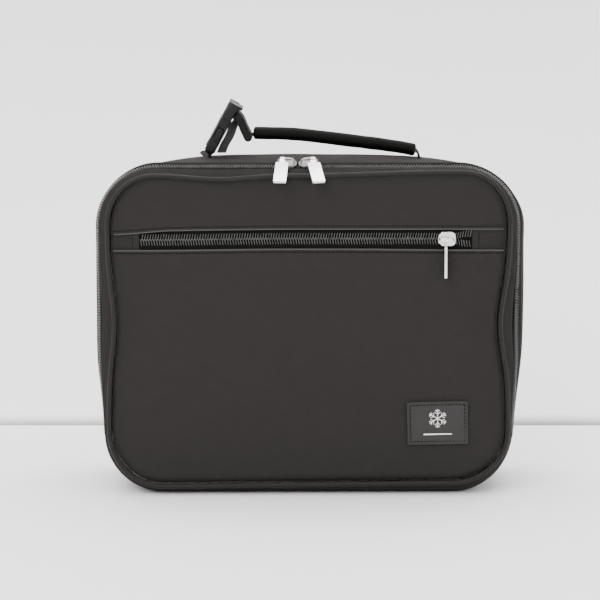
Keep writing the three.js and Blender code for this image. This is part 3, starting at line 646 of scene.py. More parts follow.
def tape_finish():
    settings = {"Roughness": 0.9, "Specular IOR Level": 0.08}
    finish = Finish("zip_tape", (0.004, 0.004, 0.004), settings)
    herringbone = finish.sum((finish.wave(0.0012, "DIAGONAL"), 0.5), (finish.wave(0.0008, "Y"), 0.5))
    finish.tint(herringbone, 0.7, 1.3)
    finish.bump(herringbone, 0.15)
    return finish.material


def webbing_finish(name, colour):
    """Ribbed webbing: rows of small bumps across its width."""
    finish = Finish(name, colour, {"Roughness": 0.7, "Specular IOR Level": 0.14})
    ribs = finish.wave(0.0016, "X")
    cords = finish.wave(0.0011, "Y")
    fuzz = finish.noise(0.0012, 3.0)
    relief = finish.sum((ribs, 0.45), (cords, 0.3), (fuzz, 0.35))
    finish.tint(relief, 0.1, 1.8)
    finish.bump(relief, 0.3)
    return finish.material


def coil_finish():
    settings = {"Roughness": 0.28, "Specular IOR Level": 0.7}
    # The loops' colour is partly their own dark nylon and partly a painted highlight for the glints that
    # they catch.
    finish = Finish("zip_coil", (0.1, 0.102, 0.094), settings, "Object")
    wear = finish.noise(0.004, 3.0)
    finish.tint(wear, 0.3, 1.7)
    finish.gloss(wear, 0.2, 0.4)
    return finish.material


def nickel_finish(name, colour):
    finish = Finish(name, colour, {"Metallic": 1.0, "Roughness": 0.2}, "Object")
    brush = finish.noise(0.0012, 4.0, (0.25, 1.0, 1.0))
    cloud = finish.noise(0.008, 3.0)
    finish.tint(cloud, 0.86, 1.06)
    finish.gloss(finish.sum((brush, 0.5), (cloud, 0.5)), 0.14, 0.32)
    finish.bump(brush, 0.015)
    return finish.material


def plastic_finish():
    settings = {"Roughness": 0.42, "Specular IOR Level": 0.22}
    finish = Finish("buckle_plastic", (0.0045, 0.0045, 0.0047), settings, "Object")
    grain = finish.noise(0.0005, 3.0)
    scuff = finish.noise(0.006, 4.0)
    finish.tint(scuff, 0.75, 1.3)
    finish.gloss(scuff, 0.34, 0.52)
    finish.bump(grain, 0.03)
    return finish.material


def grip_finish():
    settings = {"Roughness": 0.6, "Specular IOR Level": 0.07}
    finish = Finish("grip_cover", (0.0022, 0.0021, 0.0018), settings)
    creases = finish.noise(0.005, 4.0, (1.0, 0.3, 1.0))
    weave = finish.wave(0.0007, "X")
    finish.tint(creases, 0.6, 1.4)
    finish.gloss(creases, 0.42, 0.6)
    finish.bump(finish.sum((creases, 0.8), (weave, 0.12)), 0.22)
    return finish.material


def lining_finish():
    settings = {"Metallic": 0.55, "Roughness": 0.34, "Coat Weight": 0.3, "Coat Roughness": 0.2}
    finish = Finish("silver_film", (0.56, 0.57, 0.59), settings, "Object")
    crinkle = finish.noise(0.009, 6.0)
    fine = finish.noise(0.0022, 3.0)
    finish.tint(crinkle, 0.8, 1.15)
    finish.gloss(crinkle, 0.26, 0.44)
    finish.bump(finish.sum((crinkle, 1.0), (fine, 0.15)), 0.9)
    return finish.material


def foam_finish():
    finish = Finish("closed_cell_foam", (0.8, 0.79, 0.75), {"Roughness": 0.95}, "Object")
    cells = finish.cells(0.0009)
    finish.tint(cells, 0.85, 1.05)
    finish.bump(cells, 0.25)
    return finish.material


def rubber_finish():
    settings = {"Roughness": 0.5, "Specular IOR Level": 0.25}
    finish = Finish("label_rubber", (0.018, 0.0172, 0.0168), settings, "Object")
    grain = finish.noise(0.0007, 4.0)
    cloud = finish.noise(0.01, 2.0)
    finish.tint(cloud, 0.8, 1.2)
    finish.gloss(grain, 0.42, 0.58)
    finish.bump(grain, 0.05)
    return finish.material


def thread_finish():
    settings = {"Roughness": 0.7, "Specular IOR Level": 0.1}
    finish = Finish("thread", (0.003, 0.003, 0.003), settings, "Object")
    twist = finish.noise(0.0004, 2.0)
    finish.tint(twist, 0.6, 1.5)
    finish.bump(twist, 0.05)
    return finish.material


def print_finish():
    finish = Finish("pale_print", (0.72, 0.72, 0.71), {"Roughness": 0.45}, "Object")
    speckle = finish.noise(0.0006, 2.0)
    finish.tint(speckle, 0.85, 1.05)
    return finish.material


TWILL = twill("black_twill", (0.0108, 0.0099, 0.0096), 0.8, 0.4)
# A paler twill for the fold edges: partly wear, partly a painted highlight where the folds catch the light.
TWILL_WEAR_AND_HIGHLIGHT = twill("fold_wear_and_highlight_twill", (0.034, 0.0315, 0.0295), 0.75, 0.2)
TWILL_DARK = twill("pocket_back_twill", (0.005, 0.0049, 0.0047), 0.88, 0.2)
PIPING = piping_finish()
TAPE = tape_finish()
WEBBING_CLOTH = webbing_finish("webbing", (0.007, 0.0068, 0.0065))
# The same webbing as the strap, three times paler: painted light where light falls on the loose tail.
TAIL_WEBBING_PAINTED_LIGHT = webbing_finish("tail_webbing_painted_light", (0.021, 0.0202, 0.0195))
COIL = coil_finish()
NICKEL = nickel_finish("nickel", (0.9, 0.87, 0.86))
# A darker copy of the nickel for the main sliders' bodies: painted shade for the dark hollows under their
# arches.
NICKEL_PAINTED_SHADE = nickel_finish("nickel_painted_shade", (0.34, 0.32, 0.31))
PLASTIC = plastic_finish()
GRIP = grip_finish()
FILM = lining_finish()
FOAM_CLOTH = foam_finish()
RUBBER = rubber_finish()
THREAD = thread_finish()
PRINT = print_finish()


# ---- Cloth bands round the outline --------------------------------------------------------------

# How far a cloth stands proud at a distance from its edge: a folded, stitched hem, and a sewn-in edge.
HEM = np.array([(0, -0.6), (0.25, 0.0), (0.6, 0.3), (1.8, 0.3), (2.4, -0.2), (3.0, 0.2), (6, 0.0)])
SEWN = np.array([(0, -2.4), (0.6, -1.6), (1.4, -0.8), (2.4, -0.1), (4.0, 0.2), (8, 0.0)])
SEWN_REACH = 1.3
HEM_STITCH = 2.4


def relief(distance, shape):
    """The height that a hem or sewn edge has at a distance from the cloth's edge."""
    return np.interp(distance, shape[:, 0], shape[:, 1])


def cloth_section(y0, y1, low_shape, high_shape, inset=0.0, thickness=FABRIC, spacing=2.2):
    """(y, inset) pairs round a cloth's section, with its edges shaped."""
    width = y1 - y0
    near = [d for d in (0, 0.25, 0.6, 1.1, 1.8, 2.1, 2.4, 2.7, 3.0, 4.2, 6.0) if d < width / 2]
    middle = np.arange(near[-1] + spacing, width - near[-1] - spacing / 2, spacing)
    across = np.array([*near, *middle, *[width - d for d in reversed(near)]])
    rise = relief(across, low_shape) + relief(width - across, high_shape)
    outer = np.column_stack([y0 + across, inset - rise])
    thin = np.minimum(thickness, thickness * 0.5 + np.minimum(across, width - across))
    inner = np.column_stack([y0 + across, inset - rise + thin])[::-1]
    return np.vstack([outer, inner])


def band(name, first, last, section, spacing=3.0, ripple=0.0, grain=34.0):
    """A cloth that follows the outline from one step to another, with a gentle ripple."""
    steps = spaced_steps(first, last, spacing)
    closed = last - first >= RING_STEPS
    if closed:
        steps = steps[:-1]
    ys, insets = np.asarray(section, float).T
    level = outline(steps[:, None], ys[None, :])
    insets = insets[None, :] - ripple * wobble(level, grain)
    part = Part()
    part.loft(outline(steps[:, None], ys[None, :], insets), closed_along=closed)
    return part.piece(name)


def plain_section(depths, inset, thickness):
    """(y, inset) pairs round the section of a flat tape."""
    depths = np.asarray(depths, float)
    outer = np.column_stack([depths, np.full(len(depths), inset)])
    inner = np.column_stack([depths, np.full(len(depths), inset + thickness)])[::-1]
    return np.vstack([outer, inner])


def build_gussets():
    """The cloth round the sides, top and base, in front of the zip and behind it."""
    low, high = node_box("body_gusset")
    section = cloth_section(low[1], high[1] + SEWN_REACH, HEM, SEWN)
    gusset = band("gusset_cloth", 0, UPPER_STEPS, section, ripple=0.55)
    dress(gusset, TWILL, "body", ["body_gusset"])
    low, high = node_box("lid_gusset_strip")
    section = cloth_section(low[1] - SEWN_REACH, high[1], SEWN, HEM, spacing=1.5)
    strip = band("lid_strip_cloth", 0, UPPER_STEPS, section, ripple=0.2, grain=22)
    dress(strip, TWILL, "lid", ["lid_gusset_strip"])
    low, high = node_box("bottom_gusset")
    section = cloth_section(low[1] - SEWN_REACH, high[1] + SEWN_REACH, SEWN, SEWN)
    section[:, 1] = np.maximum(section[:, 1], 0)
    base = band("base_cloth", UPPER_STEPS + 0.1, RING_STEPS - 0.1, section, spacing=4)
    dress(base, TWILL, "body", ["bottom_gusset"])


def build_piping(name, node, seam_y, body):
    """A covered cord on a seam, a little uneven along its length."""
    steps = spaced_steps(0, RING_STEPS, 2.4, seam_y)[:-1]
    angles = turns(14)
    depth = np.full((1, 14), seam_y)
    radius = PIPING_RADIUS * (1 + 0.025 * wobble(outline(steps[:, None], depth), 12.0))
    grid = outline(steps[:, None], depth, -radius * np.sin(angles))
    grid[..., 1] += radius * np.cos(angles)
    part = Part()
    part.loft(grid, closed_along=True)
    dress(part.piece(name), PIPING, body, [node])


def build_bindings():
    """The tapes that bind the raw edges inside the two piped seams."""
    angles = turns(12)
    for body, inset in (("body", FOAM_INSET), ("lid", LID_BINDING_INSET)):
        node = f"{body}_seam_binding"
        low, high = node_box(node)
        middle = (low[1] + high[1]) / 2
        half = (high[1] - low[1]) / 2
        section = np.column_stack(
            [middle + half * np.cos(angles), inset + FABRIC / 2 - FABRIC / 2 * np.sin(angles)]
        )
        binding = band(f"{body}_binding", 0, RING_STEPS, section, spacing=4)
        dress(binding, TAPE, body, [node])


# ---- Padding and lining -------------------------------------------------------------------------


def build_padding():
    """The foam sheets, with soft edges, and the film that lines them."""
    soft = np.array([(0, -1.1), (0.6, -0.4), (1.6, 0.0), (6, 0.0)])
    for name, node, first, last, spacing in (("gusset_padding", "gusset_foam", 0, UPPER_STEPS, 6),
                                             ("base_padding", "bottom_foam", UPPER_STEPS, RING_STEPS, 8)):
        low, high = node_box(node)
        section = cloth_section(low[1], high[1], soft, soft, FOAM_INSET + FOAM_GAP, FOAM - 2 * FOAM_GAP, 4)
        pad = band(name, first + 0.25, last - 0.25, section, spacing=spacing)
        dress(pad, FOAM_CLOTH, "body", [node])
    dress(lining_walls(), FILM, "body", ["body_lining_walls"])


def lining_walls():
    """The film round the inside. Its front edge lies behind the zip above and comes forward below."""
    steps = spaced_steps(0, RING_STEPS, 5)[:-1]
    low, high = node_box("body_lining_walls")
    behind_zip = node_box("gusset_foam")[0][1]
    past = np.maximum(0, steps - UPPER_STEPS) / (RING_STEPS - UPPER_STEPS)
    reach = smooth(np.minimum(past, 1 - past) * 6)
    front = behind_zip + (low[1] - behind_zip) * reach
    share = np.linspace(0, 1, 18)
    ys = front[:, None] + (high[1] - front[:, None]) * share[None, :]
    level = outline(steps[:, None], ys)
    crumple = 0.3 * wobble(level, 16.0) * smooth(share * 8) * smooth((1 - share) * 8)
    outer = outline(steps[:, None], ys, LINING_INSET + 0.3 + crumple)
    inner = outline(steps[:, None], ys[:, ::-1], LINING_INSET + 0.6 + crumple[:, ::-1])
    part = Part()
    part.loft(np.concatenate([outer, inner], axis=1), closed_along=True)
    return part.piece("lining_film_walls")


# ---- Panels -------------------------------------------------------------------------------------


def panel_half_width(z, inset):
    """Half the width of a panel at a height, when its edge lies this far inside the seam."""
    shoulder, foot = SEAM_SHOULDER - inset, SEAM_FOOT - inset
    radius = np.where(z > WAIST_HEIGHT, shoulder, foot)
    past = np.maximum(0, np.maximum(z - (SEAM_TOP - inset - shoulder), SEAM_BOTTOM + inset + foot - z))
    return SEAM_HALF_WIDTH - inset - radius + np.sqrt(np.maximum(0, radius**2 - past**2))


def edge_distance(x, z, inset):
    """Distance from a point in a panel to the panel's own edge."""
    upper = z > WAIST_HEIGHT
    radius = np.where(upper, SEAM_SHOULDER, SEAM_FOOT) - inset
    qx = np.abs(x) - (SEAM_HALF_WIDTH - inset - radius)
    qz = np.where(upper, z - (SEAM_TOP - inset - radius), SEAM_BOTTOM + inset + radius - z)
    outside = np.hypot(np.maximum(qx, 0), np.maximum(qz, 0))
    return radius - outside - np.minimum(np.maximum(qx, qz), 0)


def panel_rows(low, high, inset, close_to=(), spacing=3.0):
    """Heights of a panel's rows, close together round its corners and beside the given heights."""
    turn = 1 - np.cos(np.linspace(0, math.pi / 2, 11))
    rows = [low, high, *(SEAM_TOP - inset - (SEAM_SHOULDER - inset) * turn)]
    rows += list(SEAM_BOTTOM + inset + (SEAM_FOOT - inset) * turn)
    rows += list(np.arange(low + spacing, high - spacing / 2, spacing))
    for height in close_to:
        rows += [height + side * d for d in HEM[:, 0] for side in (-1, 1)]
    rows = sorted(r for r in rows if low <= r <= high)
    kept = [rows[0]]
    for row in rows[1:-1]:
        if row - kept[-1] > 0.14 and rows[-1] - row > 0.14:
            kept.append(row)
    return np.array([*kept, rows[-1]])


def sheet_grid(x, z, front, back):
    """A closed slab from a front and a back surface over the same rows and columns: sections across."""
    face = np.stack([x, front, z], axis=-1)
    rear = np.stack([x, back, z], axis=-1)
    return np.concatenate([face, rear[:, ::-1]], axis=1)


def seam_place(x, z, side):
    """Moves a flat panel's points with the waist, the crown and the seam's unevenness."""
    y = np.full_like(x, side * SEAM_Y)
    x, z = settle(x, y, z, SEAM_TOP)
    return sway(x, y, z)


def slab(name, rows, inset, face, thickness, columns=97, span=None, side=-1):
    """A cloth or pad that fills the outline of the front or back seam between two heights. face(x, z) is
    its front depth."""
    z = rows[:, None] + np.zeros((1, columns))
    t = np.sin(np.linspace(-1, 1, columns) * math.pi / 2)
    half = panel_half_width(rows, inset)[:, None]
    left, right = -half, half
    if span:
        left = np.maximum(left, span[0])
        right = np.minimum(right, span[1])
    x = left + (right - left) * (t[None, :] + 1) / 2
    depth = face(x, z)
    placed = seam_place(x, z, side)
    part = Part()
    part.loft(sheet_grid(placed[..., 0], placed[..., 2], depth, depth + thickness), planar=(0, 2))
    return part.piece(name)


def seam_tuck(distance):
    """How far a panel's face sinks into its seam at a distance from its edge."""
    return TUCK_DEPTH * np.exp(-((np.maximum(0, distance) / TUCK_WIDTH) ** TUCK_POWER))


def droop(x):
    """How far the pocket zip's opening hangs down towards its left end: 1 mm at most."""
    return -smooth((-x - 10) / 100)


# Soft creases that fan out from the waist: middle (x, z), direction in degrees, length, width and height.
CREASES = (
    (112, 125, 24, 22, 4.5, 0.55),
    (116, 115, 8, 20, 4.0, -0.6),
    (110, 105, -22, 24, 5.0, 0.5),
    (-116, 112, -6, 18, 4.5, -0.5),
    (-110, 123, -28, 22, 5.0, 0.4),
    (-98, 70, 35, 30, 7.0, 0.35),
    (88, 82, -35, 34, 8.0, -0.35),
)


def creases(x, z):
    total = 0
    for middle_x, middle_z, direction, length, width, height in CREASES:
        angle = math.radians(direction)
        along = (x - middle_x) * math.cos(angle) + (z - middle_z) * math.sin(angle)
        across = (z - middle_z) * math.cos(angle) - (x - middle_x) * math.sin(angle)
        total = total + height * np.exp(-((along / length) ** 2) - (across / width) ** 2)
    return total


def padding_rise(x, z, inset=PANEL_INSET):
    """How far the padded front stands out from its flat solid."""
    d = edge_distance(x, z, inset)
    lower = smooth((PUFF_TOP - z) / PUFF_FADE)
    puff = PUFF * (1 - np.exp(-d / PUFF_EDGE)) * lower
    roll = EDGE_ROLL * np.exp(-(((d - EDGE_ROLL_AT) / EDGE_ROLL_WIDTH) ** 2))
    beside_waist = np.exp(-(((np.abs(x) - WAIST_DENT_X) / WAIST_DENT_WIDTH) ** 2))
    dent = WAIST_DENT * waist(z + WAIST_DENT_DROP) * beside_waist * smooth(d / 6)
    points = np.stack([x, np.zeros_like(x), z], axis=-1)
    slow = UNEVENNESS * wobble(points, UNEVEN_SIZE, 3.0) * smooth(d / 12) * (0.25 + lower)
    return puff + roll + slow + creases(x, z) * smooth(d / 8) - seam_tuck(d) - dent


def build_front():
    """The lid's front: the top cloth and the pocket cloth, folded back beside the pocket's zip."""

    def top_face(x, z):
        hem = relief(z - POCKET_SLOT_TOP, HEM)
        return -(PANEL_FACE + hem + TOP_FOLD_RISE + padding_rise(x, z))

    def pocket_face(x, z):
        hem = relief(POCKET_SLOT_BOTTOM - z, HEM)
        return -(PANEL_FACE + hem + padding_rise(x, z))

    top_span = POCKET_SLOT_TOP, SEAM_TOP - PANEL_INSET
    lower_span = SEAM_BOTTOM + PANEL_INSET, POCKET_SLOT_BOTTOM
    for name, node, span, face, level, side in (
        ("front_top_cloth", "front_panel_top", top_span, top_face, POCKET_SLOT_TOP, 1),
        ("pocket_cloth", "front_pocket_panel", lower_span, pocket_face, POCKET_SLOT_BOTTOM, -1),
    ):
        rows = panel_rows(*span, PANEL_INSET, [level], 2.6)
        cloth = slab(name, rows, PANEL_INSET, face, FOLD_CLOTH, 141)
        for vertex in cloth.data.vertices:
            x, z = vertex.co.x / MM, vertex.co.z / MM
            vertex.co.z += float(fold_hang(x, abs(z - level), side)) * MM
        dress(cloth, TWILL, "lid", [node])


def fold_hang(x, distance, side):
    """How far a fold hangs with the pocket's zip, fading away from it. The top fold bows down at its left
    end, and the lower one at its right."""
    if side > 0:
        bow = TOP_FOLD_BOW * smooth((-x - 88) / 42)
    else:
        bow = LOWER_FOLD_BOW * smooth((x - 20) / 90) - LOWER_FOLD_DROP
    return (droop(x) - bow) * smooth(1 - distance / FOLD_REACH)


def fold_path(level, side, distance, proud):
    """A line along a fold of the pocket's opening, at a distance from the edge."""
    z = level + side * distance
    half = panel_half_width(np.array([z]), PANEL_INSET)[0] - 2
    x = np.linspace(-half, half, 160)
    rise = padding_rise(x, np.full_like(x, z))
    return np.column_stack([x, -(PANEL_FACE + rise + proud), z + fold_hang(x, distance, side)])


def build_fold_edges():
    """The creases of the folds, in a paler twill that stands partly for wear and partly paints a highlight
    along the fold edges.
    """
    for name, level, side in (("top_fold_crease", POCKET_SLOT_TOP, 1),
                              ("pocket_fold_crease", POCKET_SLOT_BOTTOM, -1)):
        part = Part()
        sweep(part, fold_path(level, side, 0.45, 0.12), circle(CREASE_RADIUS), (0, 0, 1))
        dress(part.piece(name), TWILL_WEAR_AND_HIGHLIGHT, "lid", sharp=80)


def build_pocket_tabs():
    """The cloth tabs beyond the zip's ends, each with a folded edge of double thickness."""
    rows = np.linspace(POCKET_SLOT_BOTTOM - 5, POCKET_SLOT_TOP + 5, 14)
    for name, edge, side in (("left", POCKET_LEFT, -1), ("right", POCKET_RIGHT, 1)):
        span = (-SEAM_HALF_WIDTH, edge) if side < 0 else (edge, SEAM_HALF_WIDTH)
        tab = slab(f"pocket_tab_cloth_{name}", rows, PANEL_INSET, tab_face(edge, side), 0.6, 61, span)
        dress(tab, TWILL, "lid", [f"pocket_tab_{name}"])


def tab_face(edge, side):
    """The front of a tab: it is thicker up to its line of stitches and rounded over at its edge."""

    def face(x, z):
        distance = side * (x - edge)
        strip = 0.45 * smooth((4.2 - distance) / 0.4) - 0.5 * smooth((0.4 - distance) / 0.4)
        return -(PANEL_FACE - 1.0 + strip - 0.5 * seam_tuck(edge_distance(x, z, PANEL_INSET)))

    return face


def build_pocket_back():
    """The cloth that backs the pocket, flat against the lid's foam."""
    low, high = node_box("pocket_lining")
    rows = panel_rows(low[2], high[2], PANEL_INSET, spacing=5)
    depth = high[1] - low[1]
    sheet = slab("pocket_back_cloth", rows, PANEL_INSET, lambda x, z: low[1] + 0 * x, depth, 61)
    dress(sheet, TWILL_DARK, "lid", ["pocket_lining"])


def build_lid_layers():
    """The lid's foam and the film over it."""
    low, high = node_box("lid_foam")
    rows = panel_rows(low[2], high[2], PAD_INSET, spacing=5)

    def soft(x, z):
        return low[1] + 1.2 * np.exp(-edge_distance(x, z, PAD_INSET) / 1.5)

    pad = slab("lid_padding", rows, PAD_INSET, soft, high[1] - low[1] - 1.2, 61)
    dress(pad, FOAM_CLOTH, "lid", ["lid_foam"])
    film_low, film_high = node_box("lid_lining")

    def crumpled(x, z):
        points = np.stack([x, np.zeros_like(x), z], axis=-1)
        inside = smooth(edge_distance(x, z, PAD_INSET) / 6)
        return film_low[1] + 0.1 + 0.9 * inside * (1 + wobble(points, 22.0)) / 2

    rows = panel_rows(film_low[2], film_high[2], PAD_INSET)
    film = slab("lining_film_lid", rows, PAD_INSET, crumpled, 0.4, 81)
    dress(film, FILM, "lid", ["lid_lining"])


def build_back():
    """The back cloth with its foam and film."""
    low, high = node_box("back_panel")

    def cloth(x, z):
        d = edge_distance(x, z, PANEL_INSET)
        points = np.stack([x, np.ones_like(x), z], axis=-1)
        puff = 1.3 * (1 - np.exp(-d / 18)) + 0.6 * wobble(points, 52.0, 9.0) * smooth(d / 12)
        return high[1] + puff - seam_tuck(d) - FABRIC

    rows = panel_rows(low[2], high[2], PANEL_INSET)
    back = slab("back_cloth", rows, PANEL_INSET, cloth, FABRIC, 121, side=1)
    dress(back, TWILL, "body", ["back_panel"])
    low, high = node_box("back_foam")
    rows = panel_rows(low[2], high[2], PAD_INSET, spacing=5)
    pad = slab("back_padding", rows, PAD_INSET, lambda x, z: low[1] + FOAM_GAP + 0 * x,
               high[1] - low[1] - 2 * FOAM_GAP, 61, side=1)
    dress(pad, FOAM_CLOTH, "body", ["back_foam"])
    low, high = node_box("body_lining_back")

    def crumpled(x, z):
        points = np.stack([x, np.zeros_like(x), z], axis=-1)
        inside = smooth(edge_distance(x, z, LINING_INSET) / 6)
        return high[1] - 0.4 - 0.9 * inside * (1 + wobble(points, 24.0, 5.0)) / 2

    rows = panel_rows(low[2], high[2], LINING_INSET)
    film = slab("lining_film_back", rows, LINING_INSET, crumpled, 0.3, 81, side=1)
    dress(film, FILM, "body", ["body_lining_back"])


# ---- Zips ---------------------------------------------------------------------------------------


def tooth(slant):
    """One loop of a coil zip: its head lies past the chain's middle and its tail on the tape. The axes are
    along the chain, away from its middle, and outwards."""
    across = [-0.5, -0.4, -0.05, 0.45, 1.4, 2.5, 3.2, 3.4]
    half_along = [0.05, 0.22, 0.3, 0.28, 0.25, 0.25, 0.2, 0.05]
    half_out = [0.1, 0.45, 0.8, 0.85, 0.7, 0.55, 0.4, 0.1]
    angles = turns(8)
    rings = [np.column_stack([slant * a + w * np.cos(angles), 0 * angles + a, h * np.sin(angles)])
             for a, w, h in zip(across, half_along, half_out)]
    return ring_template(rings)


def build_main_zip():
    """Each half's tape and its row of loops: one is sewn to the lid and one to the body."""
    for owner, side in (("lid", -1), ("body", 1)):
        low, high = node_box(f"{owner}_zip_tape")
        edge = MAIN_ZIP_Y + side * TAPE_GAP
        far = low[1] if side < 0 else high[1]
        section = plain_section(np.linspace(min(edge, far), max(edge, far), 6), 1.5, 0.6)
        tape = band(f"{owner}_zip_tape_cloth", 0, UPPER_STEPS, section, spacing=3)
        dress(tape, TAPE, owner, [f"{owner}_zip_tape"])
        steps = spaced_steps(0.05, UPPER_STEPS - 0.05, MAIN_PITCH, MAIN_ZIP_Y)
        if side > 0:
            steps = (steps[1:] + steps[:-1]) / 2
        origin, along, across, out = surface_frames(steps, MAIN_ZIP_Y, CHAIN_INSET)
        template, faces = tooth(0.16)
        part = Part()
        part.copies(template, faces, origin, (along, side * across, out))
        dress(part.piece(f"{owner}_zip_loops"), COIL, owner, [f"{owner}_zip_coil"])


def pocket_spread(x):
    """How far each row of loops has parted to the right of the pocket's slider."""
    return PARTED_BY * smooth((x - POCKET_SLIDER_X - 4) / PARTED_WITHIN)


def build_pocket_zip():
    """The pocket zip's two tapes and two rows of loops, which part to the right of its slider."""
    left, right = POCKET_LEFT + 1, POCKET_RIGHT - 1
    for half, side in (("upper", 1), ("lower", -1)):
        low, high = node_box(f"pocket_tape_{half}")
        x = np.linspace(low[0], high[0], 60)
        near = POCKET_ZIP_Z + side * (1.2 + pocket_spread(x)) + droop(x)
        far = POCKET_ZIP_Z + side * 10 + droop(x)
        corners = [(low[1], near), (low[1], far), (high[1], far), (high[1], near)]
        edges = [np.column_stack([x, np.full_like(x, y), z]) for y, z in corners]
        tape = Part()
        tape.loft(np.stack(edges, axis=1), planar=(0, 2))
        dress(tape.piece(f"pocket_tape_cloth_{half}"), TAPE, "lid", [f"pocket_tape_{half}"])
        x = np.arange(left, right, POCKET_PITCH) + (POCKET_PITCH / 2 if side > 0 else 0)
        z = POCKET_ZIP_Z + droop(x) + side * pocket_spread(x)
        origin = np.column_stack([x, np.full_like(x, POCKET_CHAIN_Y), z])
        axes = [np.tile(axis, (len(x), 1)) for axis in ((1, 0, 0), (0, 0, side), (0, -1, 0))]
        template, faces = tooth(0.22)
        loops = Part()
        loops.copies(template * np.array([1.1, 1.15, 1]), faces, origin, axes)
        dress(loops.piece(f"pocket_zip_loops_{half}"), COIL, "lid", [f"pocket_coil_{half}"])


# ---- Sliders and pulls --------------------------------------------------------------------------


def slider_form(length, place):
    """A zip slider: a shield-shaped top plate, a lower plate, side rails and an arched bridge."""
    part = Part()
    width = 2 * SLIDER_HALF_WIDTH
    nose = length / 2

    def shield(inset, z):
        t = np.linspace(0, 2 * math.pi, 40, endpoint=False)
        x = np.sign(np.cos(t)) * np.abs(np.cos(t)) ** 0.62 * (nose - inset)
        y = np.sign(np.sin(t)) * np.abs(np.sin(t)) ** 0.55 * (width / 2 - inset)
        y = y * (0.86 + 0.14 * smooth((x + nose) / (1.5 * nose)))
        return np.column_stack([x, y, np.full_like(x, z)])

    for low, high in (SLIDER_TOP_PLATE, SLIDER_LOWER_PLATE):
        levels = [(SLIDER_EDGE, low), (0, low + SLIDER_EDGE), (0, high - SLIDER_EDGE), (SLIDER_EDGE, high)]
        part.loft([shield(*level) for level in levels], place=place)
    reach = nose - RAIL_MARGIN
    for side in (-1, 1):
        path = [(x, side * RAIL_Y, 1.0 - 0.5 * (x / nose) ** 2) for x in np.linspace(-reach, reach, 9)]
        sweep(part, path, rounded_rectangle(0.9, 3.0, 0.3, 3), place=place)
    start, end = -nose + 0.9, nose - 1.6
    arch = []
    for t in np.linspace(0, math.pi, 22):
        x = (start + end) / 2 - (end - start) / 2 * np.sign(np.cos(t)) * abs(np.cos(t)) ** 0.7
        arch.append((x, 0, BRIDGE_FOOT + (BRIDGE_HEIGHT - 1.9) * abs(np.sin(t)) ** 0.6))
    sweep(part, arch, rounded_rectangle(2.3, 1.15, 0.45, 4), place=place)
    return part


def build_sliders():
    """The two main sliders lie along the sloping crown, and the pocket's slider stands upright."""
    shift = 0.5
    top_middle = SIDE_STEPS + CORNER_STEPS + TOP_STEPS / 2
    rise = outline(top_middle, MAIN_ZIP_Y + shift)[2] - outline(top_middle, MAIN_ZIP_Y - shift)[2]
    tilt = math.atan2(rise, 2 * shift)
    chain_z = SEAM_TOP + TOP_SWELL * swell(MAIN_ZIP_Y) - CHAIN_INSET * math.cos(tilt)
    for name, x in MAIN_SLIDER_X.items():
        place = Matrix.Translation((x, MAIN_ZIP_Y, chain_z)) @ Matrix.Rotation(tilt, 4, "X")
        if name == "right":
            place = place @ Matrix.Rotation(math.pi, 4, "Z")
        slider, pull = f"main_slider_{name}", f"main_pull_{name}"
        form = slider_form(MAIN_SLIDER_LENGTH, place).piece(f"zip_slider_{name}")
        # The slider body takes the darker nickel, which paints shade into its inside.
        dress(form, NICKEL_PAINTED_SHADE, slider, [slider], 35)
        dress(refined(pull, 0.32), NICKEL, pull, [pull], 35)
    place = Matrix.Translation((POCKET_SLIDER_X, POCKET_CHAIN_Y, POCKET_ZIP_Z))
    place = place @ Matrix.Rotation(math.pi / 2, 4, "X")
    form = slider_form(POCKET_SLIDER_LENGTH, place).piece("pocket_zip_slider")
    dress(form, NICKEL, "pocket_slider", ["pocket_slider"], 35)
    dress(refined("pocket_pull", 0.3), NICKEL, "pocket_pull", ["pocket_pull"], 35)


# ---- Label patch --------------------------------------------------------------------------------


def build_patch():
    """A rubber label with a raised rim, sewn on, with a plain snowflake printed on it."""
    low, high = node_box("label_patch")
    middle = (low + high) / 2
    stand = padding_rise(np.array([middle[0]]), np.array([middle[2]]))[0]
    turn = Matrix.Rotation(math.radians(PATCH_TURN), 4, "Y")
    lean = Matrix.Rotation(math.radians(PATCH_LEAN), 4, "X")
    place = Matrix.Translation((middle[0], high[1] - stand, middle[2])) @ turn @ lean
    place = place @ Matrix.Rotation(math.pi / 2, 4, "X")
    part = Part()
    levels = [(0.1, -0.3), (0, 0.1), (0, 1.0), (0.25, 1.3), (PATCH_RIM - 0.3, 1.3), (PATCH_RIM, 0.9)]
    sections = []
    for inset, z in levels:
        corner = max(0.2, PATCH_CORNER - inset)
        flat = rounded_rectangle(PATCH_WIDTH - 2 * inset, PATCH_HEIGHT - 2 * inset, corner)
        sections.append(np.column_stack([flat, np.full(len(flat), z)]))
    part.loft(sections, place=place)
    label = part.piece("patch_label")
    curl_corner(label, middle)
    dress(label, RUBBER, "lid", ["label_patch"], 30)

    margin = PATCH_RIM + 1.0
    seam = rounded_rectangle(PATCH_WIDTH - 2 * margin, PATCH_HEIGHT - 2 * margin, 0.6, 3)
    path = np.column_stack([seam, np.full(len(seam), 0.98)])
    path = moved(np.vstack([path, path[:1]]), place)
    stitches("patch_stitches", path, np.array(place)[:3, 2], "lid", 1.5, 0.9, 0.36)
    build_emblem(place)


def curl_corner(label, middle):
    """The lower right corner of the rubber label droops away a little."""
    for vertex in label.data.vertices:
        reach = (vertex.co.x / MM - middle[0]) / 20 - (vertex.co.z / MM - middle[2]) / 15
        vertex.co.y -= 0.35 * float(smooth(reach - 0.9)) * MM


